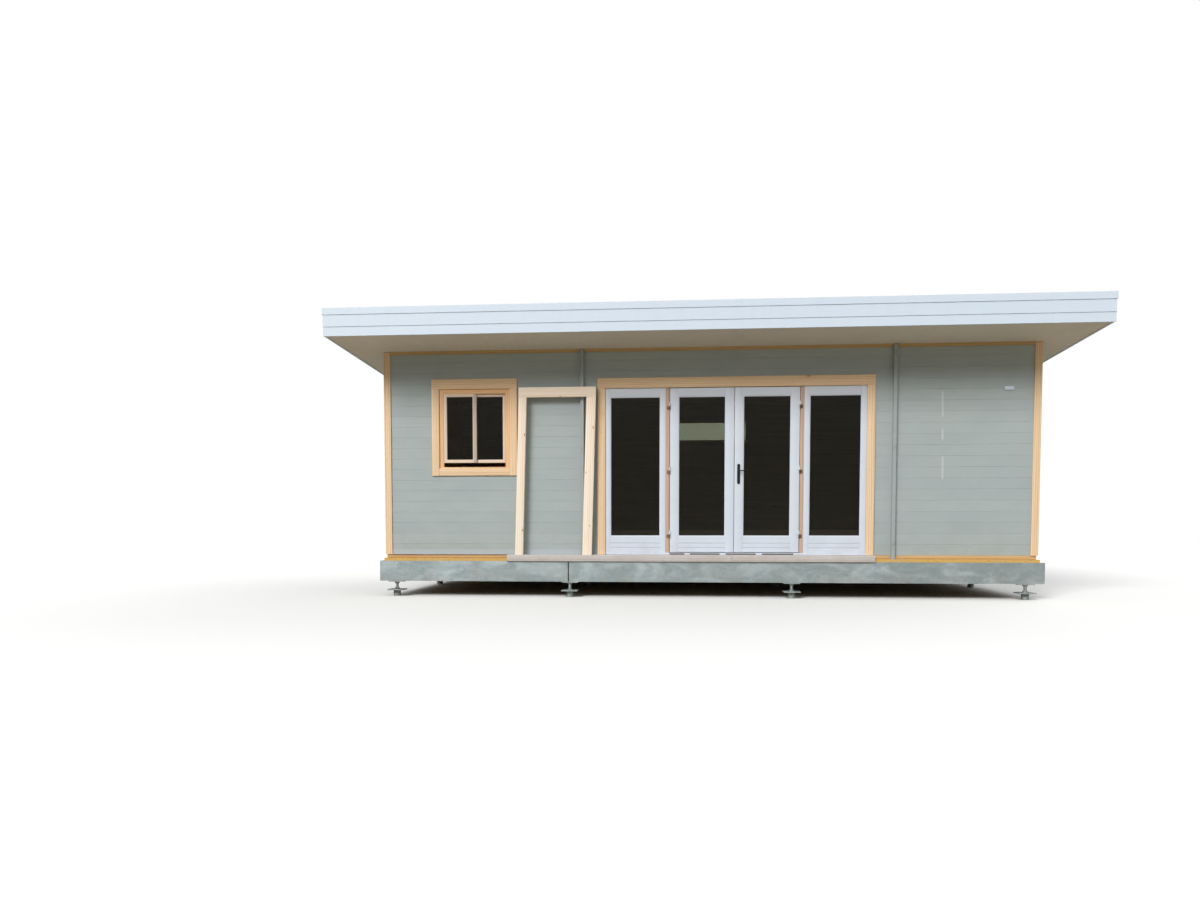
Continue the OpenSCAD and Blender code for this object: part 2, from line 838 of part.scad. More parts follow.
// A leaf of the left-hand side with its drilled hinge knuckles, drawn from the
// middle of the doorway
module leaf() {
    translate([-hinge_x + leaf_gap / 2, 0, 0])
        glazed_panel(leaf_w, stile_w, rail_foot, doorway_top - leaf_gap);
    for (z = hinge_feet) translate([-hinge_x, -hinge_out, z + knuckle_len + seat])
        difference() {
            union() {
                cylinder(d = knuckle_d, h = knuckle_len);
                block([leaf_gap / 2, hinge_out - flap_t, 0],
                    [leaf_gap / 2 + flap_w, hinge_out, knuckle_len]);
                block([0, knuckle_d / 2 - flap_t, 0],
                    [leaf_gap / 2 + flap_t, hinge_out, knuckle_len]);
            }
            translate([0, 0, -knuckle_len])
                cylinder(d = pin_d + 2 * pin_fit, h = 3 * knuckle_len);
        }
}

// Fixed half of the left-hand hinges, with their pins, on the mullion
module fixed_hinges() {
    for (z = hinge_feet) translate([-hinge_x, -hinge_out, z]) {
        cylinder(d = knuckle_d, h = knuckle_len);
        cylinder(d = pin_d, h = 2 * knuckle_len);
        block([-leaf_gap / 2 - flap_w, hinge_out - flap_t, 0],
            [-leaf_gap / 2, hinge_out, knuckle_len]);
        block([-leaf_gap / 2 - flap_t, knuckle_d / 2 - flap_t, 0], [0, hinge_out, knuckle_len]);
    }
}

module left_door() {
    color(door_white) in_row() translate([doors_x, 0, 0]) leaf();
}

module right_door() {
    color(door_white) in_row() translate([doors_x, 0, 0]) mirror([1, 0, 0]) leaf();
}

module left_door_glass() {
    color(glass_dark) in_row()
        translate([doors_x - hinge_x + leaf_gap / 2, 0, 0]) panel_glass(leaf_w, stile_w);
}

module right_door_glass() {
    color(glass_dark) in_row()
        translate([doors_x + leaf_gap / 2, 0, 0]) panel_glass(leaf_w, stile_w);
}

module hinge_pins() {
    color(door_white) in_row() translate([doors_x, 0, 0]) {
        fixed_hinges();
        mirror([1, 0, 0]) fixed_hinges();
    }
}

// Handle plate and lever that stand off a leaf's face towards -Y
module lever_set() {
    block([-plate_w / 2, -plate_t, -lever_on_plate], [plate_w / 2, 0, plate_h - lever_on_plate]);
    rotate([90, 0, 0]) cylinder(d = lever_d, h = lever_out);
    translate([0, -lever_out, 0]) sphere(d = lever_d);
    translate([0, -lever_out, 0]) rotate([0, 90, 0]) cylinder(d = lever_d, h = lever_len);
}

module door_handle() {
    color(handle_black) in_row()
        translate([doors_x + leaf_gap / 2 + stile_w / 2, 0, rail_foot + lever_h]) {
            lever_set();
            translate([0, leaf_t, 0]) mirror([0, 1, 0]) lever_set();
        }
}

// Corners of the front window's opening
window_left = window_x - window_w / 2;
window_right = window_x + window_w / 2;
window_foot = sole_top + window_z;
window_head = window_foot + window_h;

module window_trim() {
    color(pine) in_row()
        trim_boards(window_left, window_right, window_foot, window_head, true);
}

module window_frame() {
    color(window_pine) in_row()
        difference() {
            block([window_left + seat, 0, window_foot + seat],
                [window_right - seat, lining_dep, window_head - seat]);
            block([window_left + wframe_w, -wall_t, window_foot + wsill_t],
                [window_right - wframe_w, 2 * lining_dep, window_head - wframe_w]);
        }
}

sash_foot = window_foot + wsill_t + sash_lift;
sash_head = window_head - wframe_w - sash_fit;
sash_len = (window_w - 2 * wframe_w) / 2 + sash_w / 2 - sash_fit;
// Left corner and distance behind the wall face of the outer and the inner sash
sash_places = [
    [window_left + wframe_w + sash_fit, sash_set],
    [window_right - wframe_w - sash_fit - sash_len, sash_set + sash_t + sash_gap]
];

module window_sashes() {
    color(window_pine) in_row()
        for (place = sash_places)
            translate([place[0], place[1], 0])
                difference() {
                    block([0, 0, sash_foot], [sash_len, sash_t, sash_head]);
                    block([sash_w, -sash_t, sash_foot + sash_w],
                        [sash_len - sash_w, 2 * sash_t, sash_head - sash_w]);
                }
}

module window_glass() {
    color(glass_dark) in_row()
        for (place = sash_places)
            translate([place[0], place[1] + (sash_t - sash_glass_t) / 2, 0])
                block([sash_w + glass_fit, 0, sash_foot + sash_w + glass_fit],
                    [sash_len - sash_w - glass_fit, sash_glass_t, sash_head - sash_w - glass_fit]);
}

rear_left = rear_window_x - rear_window_w / 2;
rear_right = rear_window_x + rear_window_w / 2;
rear_foot = wall_top - rear_window_drop;
rear_head = rear_foot + rear_window_h;

module rear_window_frame() {
    color(window_pine) in_row() {
        difference() {
            block([rear_left + seat, wall_dep - lining_dep, rear_foot + seat],
                [rear_right - seat, wall_dep, rear_head - seat]);
            block([rear_left + wframe_w, wall_dep - 2 * lining_dep, rear_foot + wframe_w],
                [rear_right - wframe_w, wall_dep + wall_t, rear_head - wframe_w]);
        }
        translate([0, wall_dep + seat, 0]) mirror([0, 1, 0])
            trim_boards(rear_left, rear_right, rear_foot, rear_head, true);
    }
}

module rear_window_glass() {
    mid = wall_dep - wall_t / 2;
    color(glass_dark) in_row()
        block([rear_left + wframe_w + glass_fit, mid - sash_glass_t / 2, rear_foot + wframe_w + glass_fit],
            [rear_right - wframe_w - glass_fit, mid + sash_glass_t / 2,
                rear_head - wframe_w - glass_fit]);
}

// New door frame that stands on the ledge against the wall, leaning to one side
module stored_frame() {
    lean = tan(stored_lean);
    post_h = stored_h - stored_head_h - seat;
    back = -stored_off;
    foot = sole_top + seat;
    shift = post_h * lean;
    head_left = -stored_w / 2 + shift;
    color(pale_pine) in_row() translate([doors_x + stored_x, 0, 0]) {
        for (post = [[-stored_w / 2, stored_left_w], [stored_w / 2 - stored_right_w, stored_right_w]])
            along_y(back - stored_dep, back)
                polygon([
                    [post[0], foot], [post[0] + post[1], foot],
                    [post[0] + post[1] + shift, foot + post_h], [post[0] + shift, foot + post_h]
                ]);
        block([head_left, back - stored_dep, foot + post_h + seat],
            [head_left + stored_w, back, foot + stored_h]);
    }
}

steel_piers();
front_bearers();
rear_bearer();
centre_bearer();
end_bearers();
floor_joists();
floor_sheet();
sole_plates();
front_ledge();
base_flashing();
front_wall_left();
front_wall_over_doors();
front_wall_right();
left_wall();
right_wall();
rear_wall();
corner_trims();
roof_purlins();
roof_boards();
eave_bead();
roof_rafters();
roof_battens();
roof_sheets();
front_fascia();
side_and_rear_fascia();
roof_caps();
rear_gutter();
storm_tubes();
door_trim();
door_lining();
sidelight_frames();
sidelight_glass();
left_door();
left_door_glass();
right_door();
right_door_glass();
hinge_pins();
door_handle();
window_trim();
window_frame();
window_sashes();
window_glass();
rear_window_frame();
rear_window_glass();
stored_frame();
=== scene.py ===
"""Looks of a garden office pod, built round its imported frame.

Lengths are metres in the frame of the CAD model: X runs along the front wall,
Y runs into the room and Z is up from the ground under the piers.
"""

import logging
import math
from dataclasses import dataclass, field
from enum import Enum
from functools import cache
from typing import Callable, NamedTuple

import bpy
import numpy as np
from bpy.types import Material, Node, NodeSocket, NodeTree, World
from mathutils import Matrix, Vector


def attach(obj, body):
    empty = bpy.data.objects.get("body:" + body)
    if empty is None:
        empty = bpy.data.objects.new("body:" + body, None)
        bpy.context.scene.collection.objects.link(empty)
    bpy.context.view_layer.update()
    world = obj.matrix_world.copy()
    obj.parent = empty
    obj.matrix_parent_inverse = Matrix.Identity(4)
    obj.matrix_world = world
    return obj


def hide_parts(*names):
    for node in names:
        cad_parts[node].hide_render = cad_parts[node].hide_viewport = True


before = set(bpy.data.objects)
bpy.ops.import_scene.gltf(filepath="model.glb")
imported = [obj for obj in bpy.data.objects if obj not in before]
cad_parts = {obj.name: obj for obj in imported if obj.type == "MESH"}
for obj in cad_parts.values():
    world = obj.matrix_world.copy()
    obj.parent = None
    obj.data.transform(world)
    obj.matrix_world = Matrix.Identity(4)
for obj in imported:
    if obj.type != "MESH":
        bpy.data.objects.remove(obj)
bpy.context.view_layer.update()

log = logging.getLogger("garden_pod")

Array = np.ndarray
Colour = tuple[float, float, float, float]
Feed = NodeSocket | float | Colour
Sockets = bpy.types.bpy_prop_collection

X_AXIS, Y_AXIS, Z_AXIS = np.eye(3)
ORIGIN = np.zeros(3)
OUT_OF_WALL = np.stack([X_AXIS, Z_AXIS, -Y_AXIS], axis=1)
GRAIN_MAP = "grain"
GRAIN_REACH = 40.0
SHARP_ANGLE = math.radians(32)


def tone(red: int, green: int, blue: int) -> Colour:
    """Linear colour of a paint given in display values.

    Args:
        red: Red from 0 to 255.
        green: Green from 0 to 255.
        blue: Blue from 0 to 255.

    Returns:
        The colour with an alpha of one.
    """
    shares = np.array([red, green, blue]) / 255.0
    bright = ((shares + 0.055) / 1.055) ** 2.4
    return (*np.where(shares <= 0.04045, shares / 12.92, bright).tolist(), 1.0)


class Body(Enum):
    """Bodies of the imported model."""

    BUILDING = "building"
    LEFT_LEAF = "left_leaf"
    RIGHT_LEAF = "right_leaf"


class Along(Enum):
    """Which way a board or the grain of a finish runs."""

    X = 0
    Y = 1
    Z = 2
    MAP = 3

    @property
    def order(self) -> list[int]:
        """Its own axis, then the other two."""
        return [self.value] + [axis for axis in range(3) if axis != self.value]


class Slot(Enum):
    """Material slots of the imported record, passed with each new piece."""

    GALVANISED = "galvanised_steel"
    WALL_PAINT = "wall_paint"
    SOFFIT = "soffit_paint"
    PINE = "pine_trim"
    WINDOW = "window_timber"
    LINING = "lining_timber"
    LEDGE = "ledge_timber"
    STRUCTURE = "structural_timber"
    WHITE_METAL = "white_metal"
    ROOF_STEEL = "roof_steel"
    DOOR_WHITE = "door_white"
    BLACK = "black_metal"
    HINGE = "hinge_metal"
    STORED = "stored_timber"


@dataclass(frozen=True)
class Site:
    """Levels and lines that all sub-assemblies share."""

    wall_y: float = -1.739
    half_len: float = 4.0
    depth: float = 4.0
    board: float = 0.134
    rows: int = 19
    base_top: float = 0.444
    floor_top: float = 0.480
    sole_top: float = 0.524
    sill_top: float = 0.550
    rail_foot: float = 0.558
    glass_low: float = 0.752
    glass_high: float = 2.480
    doorway_top: float = 2.587
    wall_top: float = 3.070
    fall: float = math.radians(3.0)
    seat: float = 0.0003  # gap between pieces that rest on each other
    tubes: tuple = (-1.490, 2.305)

    @property
    def down_slope(self) -> Array:
        """Direction of the roof's fall."""
        return np.array([0.0, math.cos(self.fall), -math.sin(self.fall)])

    @property
    def off_slope(self) -> Array:
        """Direction square to the roof, upwards."""
        return np.array([0.0, math.sin(self.fall), math.cos(self.fall)])

    @property
    def purlins(self) -> tuple[float, float]:
        """Distances of the purlins behind the front wall."""
        return self.depth / 3, self.depth * 2 / 3

    def roof_under(self, back: float) -> float:
        """Height of the roof boards' underside at a distance behind the front wall."""
        return self.wall_top - back * math.tan(self.fall)

    def on_slope(self, x: float, down: float, rise: float) -> Array:
        """Point down the slope from the front wall and square above the boards' underside."""
        foot = np.array([x, self.wall_y, self.wall_top])
        return foot + down * self.down_slope + rise * self.off_slope


SITE = Site()


class Hole(NamedTuple):
    """A stretch of a wall, given along the wall and by height."""

    start: float
    end: float
    low: float
    high: float

    def shrunk(self, by: float) -> "Hole":
        """The stretch with each side moved inwards."""
        return Hole(self.start + by, self.end - by, self.low + by, self.high - by)


WINDOW = Hole(-3.306, -2.406, 1.611, 2.600)
DOORS = Hole(-1.228, 2.008, 0.0, 2.617)
REAR_WINDOW = Hole(-0.460, 0.840, 2.235, 2.610)


# Shapes


def rounded(width: float, height: float, radius: float, steps: int = 2) -> Array:
    """Outline of a rectangle about the origin with arcs for corners.

    Each corner is its centre plus the radius turned through a quarter circle.

    Args:
        width: Size along the first axis.
        height: Size along the second axis.
        radius: Radius of the corners.
        steps: Pieces of each arc.

    Returns:
        Points of the outline, anticlockwise.
    """
    radius = min(radius, width * 0.499, height * 0.499)
    turns = np.arange(4)[:, None] * math.pi / 2 + np.linspace(0, math.pi / 2, steps + 1)
    arcs = radius * np.stack([np.cos(turns), np.sin(turns)], axis=-1)
    signs = np.array([[1, 1], [-1, 1], [-1, -1], [1, -1]])[:, None, :]
    centres = signs * np.array([width / 2 - radius, height / 2 - radius])
    return (centres + arcs).reshape(-1, 2)


def circle(count: int) -> Array:
    """Points of a unit circle at equal angles, anticlockwise."""
    turns = np.arange(count) * 2 * math.pi / count
    return np.stack([np.cos(turns), np.sin(turns)], axis=-1)


def travelled(points: Array) -> Array:
    """Length along a loop to each of its points, and back to the first."""
    steps = np.linalg.norm(np.roll(points, -1, axis=0) - points, axis=1)
    return np.concatenate([[0.0], np.cumsum(steps)])


@dataclass
class Shell:
    """Swept solids that are gathered into one mesh, with a grain map in metres."""

    seed: int
    rows: list[tuple[Array, ...]] = field(default_factory=list)
    total: int = 0

    def __post_init__(self) -> None:
        """Starts the seeded draws that shift the grain of each board."""
        self.draws = np.random.default_rng(self.seed)

    def gathered(self) -> list[Array]:
        """Points, corners, face sizes, grain and marks of all rows."""
        return [np.concatenate(column) for column in zip(*self.rows)]

    def _keep(self, points: Array, faces: Array, grain: Array, marks: Array) -> None:
        """Adds faces of one size.

        Args:
            points: New points, which may be none.
            faces: Rows of point numbers in the gathered mesh.
            grain: Grain map of each face corner.
            marks: Material number of each face.
        """
        sizes = np.full(len(faces), faces.shape[1])
        self.rows.append((points, faces.ravel(), sizes, grain.reshape(-1, 2), marks))
        self.total += len(points)

    def sweep(self, outline: Array, path: Array, side: Array, up: Array,
              marks: int | Array = 0, closed: bool = False) -> None:
        """Carries an outline along a path.

        A point is the path's point plus the outline's first number along side
        plus its second number along up. The grain map is the length along the
        path and the length round the outline, shifted by a seeded draw.

        Args:
            outline: Points of the outline, or one outline for each path point.
            path: Points of the path.
            side: First axis of the outline, or one for each path point.
            up: Second axis of the outline, or one for each path point.
            marks: Material number, or one for each edge of the outline.
            closed: Whether the path's end joins its start.
        """
        path = np.asarray(path, float)
        rows, cols = len(path), np.shape(outline)[-2]
        outline = np.broadcast_to(outline, (rows, cols, 2))
        side, up = np.broadcast_to(side, (rows, 3)), np.broadcast_to(up, (rows, 3))
        marks = np.broadcast_to(marks, cols)
        widest = outline[np.abs(outline).sum(axis=(1, 2)).argmax()]
        ahead = np.roll(widest, -1, axis=0)
        area = (widest[:, 0] * ahead[:, 1] - widest[:, 1] * ahead[:, 0]).sum()
        if area * np.dot(np.cross(side[0], up[0]), path[1] - path[0]) < 0:
            outline, marks = outline[:, ::-1], np.roll(marks[::-1], -1)
            widest = widest[::-1]
        points = (path[:, None] + outline[..., :1] * side[:, None]
                  + outline[..., 1:] * up[:, None])
        m, n = (grid.ravel() for grid in np.indices((rows if closed else rows - 1, cols)))
        after, right = (m + 1) % rows, (n + 1) % cols
        quads = np.stack([m * cols + n, m * cols + right, after * cols + right,
                          after * cols + n], axis=1) + self.total
        shift = self.draws.uniform(0.0, GRAIN_REACH, 2)
        run, girth = travelled(path) + shift[0], travelled(widest) + shift[1]
        grain = np.stack([np.stack([run[m], run[m], run[m + 1], run[m + 1]], 1),
                          np.stack([girth[n], girth[n + 1], girth[n + 1], girth[n]], 1)], 2)
        first = self.total
        self._keep(points.reshape(-1, 3), quads, grain, marks[n])
        if not closed:
            low, high = np.arange(cols)[::-1], (rows - 1) * cols + np.arange(cols)
            for ring, flat in ((low, outline[0][::-1]), (high, outline[-1])):
                self._keep(np.zeros((0, 3)), first + ring[None], flat + shift, marks[:1])

    def board(self, low: tuple, high: tuple, along: Along, radius: float = 0.003,
              mark: int = 0) -> None:
        """A board that fills a box, with eased edges and ends.

        Its outline is a rounded rectangle that draws in by half the ease at each end.

        Args:
            low: Lowest corner.
            high: Highest corner.
            along: Axis of its length.
            radius: Radius of its edges.
            mark: Material number.
        """
        low, high = np.array(low, float), np.array(high, float)
        length, first, second = along.order
        size = high - low
        ease = min(radius, size.min() * 0.4)
        full = rounded(size[first], size[second], ease)
        slim = rounded(size[first] - ease, size[second] - ease, ease / 2)
        path = np.tile((low + high) / 2, (4, 1))
        path[:, length] = [low[length], low[length] + ease / 2,
                           high[length] - ease / 2, high[length]]
        axes = np.eye(3)
        self.sweep(np.stack([slim, full, full, slim]), path, axes[first], axes[second], mark)

    def turned(self, heights: list, radii: list, count: int, foot: Array = ORIGIN,
               axis: Array = Z_AXIS) -> None:
        """A round solid: at each height the radius goes round the axis.

        Args:
            heights: Places along the axis.
            radii: Radius at each height.
            count: Points round the axis.
            foot: Point that the heights start from.
            axis: Direction of the axis.
        """
        side = np.cross(axis, Z_AXIS if abs(axis[2]) < 0.9 else X_AXIS)
        outlines = np.array(radii, float)[:, None, None] * circle(count)
        path = foot + np.array(heights, float)[:, None] * axis
        self.sweep(outlines, path, side, np.cross(axis, side))

    def loop(self, hole: Hole, inset: float, y: float, outline: Array, up: Array,
             mark: int = 0) -> None:
        """Carries an outline round a hole.

        It is mitred at the corners by moving inward along both axes at once.

        Args:
            hole: The hole.
            inset: Distance of the path inside the hole.
            y: Place of the path.
            outline: Points of the outline.
            up: Second axis of the outline.
            mark: Material number.
        """
        start, end, low, high = hole
        corners = np.array([(start, y, low), (end, y, low), (end, y, high), (start, y, high)])
        inward = np.array([(1, 0, 1), (-1, 0, 1), (-1, 0, -1), (1, 0, -1)], float)
        self.sweep(outline, corners + inset * inward, inward, up, mark, closed=True)

    def ring(self, hole: Hole, near: float, far: float, widths: tuple, radius: float,
             right_mark: int = 0) -> None:
        """Four boards inside a hole: the sides, the head and the foot.

        Args:
            hole: The hole.
            near: Lower Y of the boards.
            far: Upper Y of the boards.
            widths: Widths of the sides, the head and the foot.
            radius: Radius of their edges.
            right_mark: Material number of the board on the right.
        """
        side, head, foot = widths
        left, right, low, high = hole
        for x, mark in ((left, 0), (right - side, right_mark)):
            self.board((x, near, low), (x + side, far, high), Along.Z, radius, mark)
        for z, top in ((high - head, high), (low, low + foot)):
            self.board((left + side, near, z), (right - side, far, top), Along.X, radius)

    def scatter(self, stamp: "Shell", places: list, turn: Array | None = None) -> "Shell":
        """Copies a small shell to many places.

        Args:
            stamp: The shell that is copied.
            places: One point for each copy.
            turn: Rotation of the copies, as a matrix.

        Returns:
            This shell.
        """
        points, corners, sizes, grain, marks = stamp.gathered()
        if turn is not None:
            points = points @ turn.T
        places = np.array(places, float)
        count = len(places)
        starts = self.total + np.arange(count) * len(points)
        self.rows.append(((places[:, None] + points).reshape(-1, 3),
                          (starts[:, None] + corners).ravel(), np.tile(sizes, count),
                          np.tile(grain, (count, 1)), np.tile(marks, count)))
        self.total += count * len(points)
        return self

    def finish(self, name: str, slot: Slot, *coats: "Coat", nodes: tuple = (),
               body: Body = Body.BUILDING) -> None:
        """Makes the gathered mesh a piece of the pod.

        Args:
            name: Name of the piece.
            slot: Slot of the record; not used.
            *coats: Its finishes, in the order of the marks.
            nodes: CAD nodes that it replaces.
            body: Body that it moves with.
        """
        mesh = bpy.data.meshes.new(name)
        points, corners, sizes, grain, marks = self.gathered()
        mesh.vertices.add(len(points))
        mesh.vertices.foreach_set("co", points.astype(np.float32).ravel())
        mesh.loops.add(len(corners))
        mesh.loops.foreach_set("vertex_index", corners.astype(np.int32))
        mesh.polygons.add(len(sizes))
        starts = np.concatenate([[0], np.cumsum(sizes)[:-1]])
        mesh.polygons.foreach_set("loop_start", starts.astype(np.int32))
        mesh.polygons.foreach_set("material_index", marks.astype(np.int32))
        layer = mesh.uv_layers.new(name=GRAIN_MAP)
        layer.data.foreach_set("uv", grain.astype(np.float32).ravel())
        mesh.update(calc_edges=True)
        mesh.polygons.foreach_set("use_smooth", np.ones(len(sizes), bool))
        mesh.set_sharp_from_angle(angle=SHARP_ANGLE)
        for coat in coats:
            mesh.materials.append(coat.material)
        piece = bpy.data.objects.new(name, mesh)
        bpy.context.scene.collection.objects.link(piece)
        if nodes:
            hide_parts(*nodes)
        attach(piece, body.value)
        log.info("%s: %d faces on %s", name, len(sizes), body.value)


def stamped(seed: int, *profiles: tuple[list, list, int]) -> Shell:
    """A small shell of turned profiles, which is copied to many places.

    Args:
        seed: Seed of the grain's draws.
        *profiles: Heights, radii and number of points round each profile.

    Returns:
        The shell.
    """
    stamp = Shell(seed)
    for heights, radii, count in profiles:
        stamp.turned(heights, radii, count)
    return stamp


# Shader building


class Graph:
    """Makes and joins the nodes of one shader tree."""

    def __init__(self, tree: NodeTree) -> None:
        """Keeps the tree that the nodes go into."""
        self.tree = tree

    @classmethod
    def blank(cls, owner: Material | World) -> "Graph":
        """The graph of a material or world, with its nodes cleared.

        Args:
            owner: The material or world.

        Returns:
            The graph.
        """
        owner.use_nodes = True
        owner.node_tree.nodes.clear()
        return cls(owner.node_tree)

    def node(self, kind: str, feeds: dict | None = None, **settings: object) -> Node:
        """Adds a node.

        Args:
            kind: Type of the node, without the word ShaderNode.
            feeds: Values or sockets for its inputs, by name or number.
            **settings: Properties of the node.

        Returns:
            The node.
        """
        made = self.tree.nodes.new(kind if kind.startswith("Node") else "ShaderNode" + kind)
        for name, value in settings.items():
            setattr(made, name, value)
        for key, value in (feeds or {}).items():
            if isinstance(value, NodeSocket):
                self.tree.links.new(value, made.inputs[key])
            else:
                made.inputs[key].default_value = value
        return made

    def value(self, kind: str, feeds: dict, **settings: object) -> NodeSocket:
        """First output of a new node."""
        return self.node(kind, feeds, **settings).outputs[0]

    def math(self, operation: str, first: Feed, second: Feed = 0.0) -> NodeSocket:
        """Result of a calculation with one or two values."""
        return self.value("Math", {0: first, 1: second}, operation=operation)

    def times(self, first: Feed, second: Feed) -> NodeSocket:
        """Product of two values."""
        return self.math("MULTIPLY", first, second)

    def weighed(self, first: Feed, share: float, second: Feed, other: float) -> NodeSocket:
        """Sum of two values, each times its weight."""
        return self.math("ADD", self.times(first, share), self.times(second, other))

    def blend(self, share: Feed, first: Feed, second: Feed) -> NodeSocket:
        """Mix of two colours, by the share of the second."""
        # A mix node keeps its colours on inputs 6 and 7 and on output 2.
        return self.node("Mix", {0: share, 6: first, 7: second}, data_type="RGBA").outputs[2]

    def stain(self, colour: Feed, mask: Feed, share: float, tint: Colour) -> NodeSocket:
        """A colour with a tint laid over it by a share of a mask."""
        return self.blend(self.times(mask, share), colour, tint)

    def spread(self, value: Feed, low: Feed, high: Feed, to_low: float = 0.0,
               to_high: float = 1.0) -> NodeSocket:
        """A value mapped smoothly from one range to another, and kept inside it."""
        feeds = {0: value, 1: low, 2: high, 3: to_low, 4: to_high}
        return self.value("MapRange", feeds, interpolation_type="SMOOTHSTEP")

    def noise(self, vector: Feed, scale: float, detail: float = 3.0, rough: float = 0.55,
              warp: float = 0.0) -> NodeSocket:
        """Smooth noise about a half, whose finer layers are as strong as rough."""
        return self.value("TexNoise", {"Vector": vector, "Scale": scale, "Detail": detail,
                                       "Roughness": rough, "Distortion": warp})

    def stretched(self, vector: Feed, *shares: float) -> NodeSocket:
        """A vector times three shares."""
        return self.value("VectorMath", {0: vector, 1: shares}, operation="MULTIPLY")

    def place(self) -> NodeSocket:
        """Object coordinates."""
        return self.node("TexCoord").outputs["Object"]

    def part(self, vector: Feed, axis: int) -> NodeSocket:
        """One number of a vector."""
        return self.node("SeparateXYZ", {0: vector}).outputs[axis]

    def use(self, group: NodeTree, **feeds: Feed) -> Sockets:
        """Outputs of a shared group that is placed with its own values."""
        return self.node("Group", feeds, node_tree=group).outputs

    def bump(self, height: Feed, strength: float, depth: float) -> NodeSocket:
        """Normal that is tilted by a height of 0 to 1, where one is the depth."""
        return self.value("Bump", {"Strength": strength, "Distance": depth, "Height": height})

    def lengthwise(self, along: Along) -> NodeSocket:
        """A vector whose first number runs along the grain.

        Args:
            along: Which way the grain runs.

        Returns:
            The vector.
        """
        if along is Along.MAP:
            return self.value("UVMap", {}, uv_map=GRAIN_MAP)
        split = self.node("SeparateXYZ", {0: self.place()}).outputs
        return self.value("CombineXYZ", dict(enumerate(split[axis] for axis in along.order)))


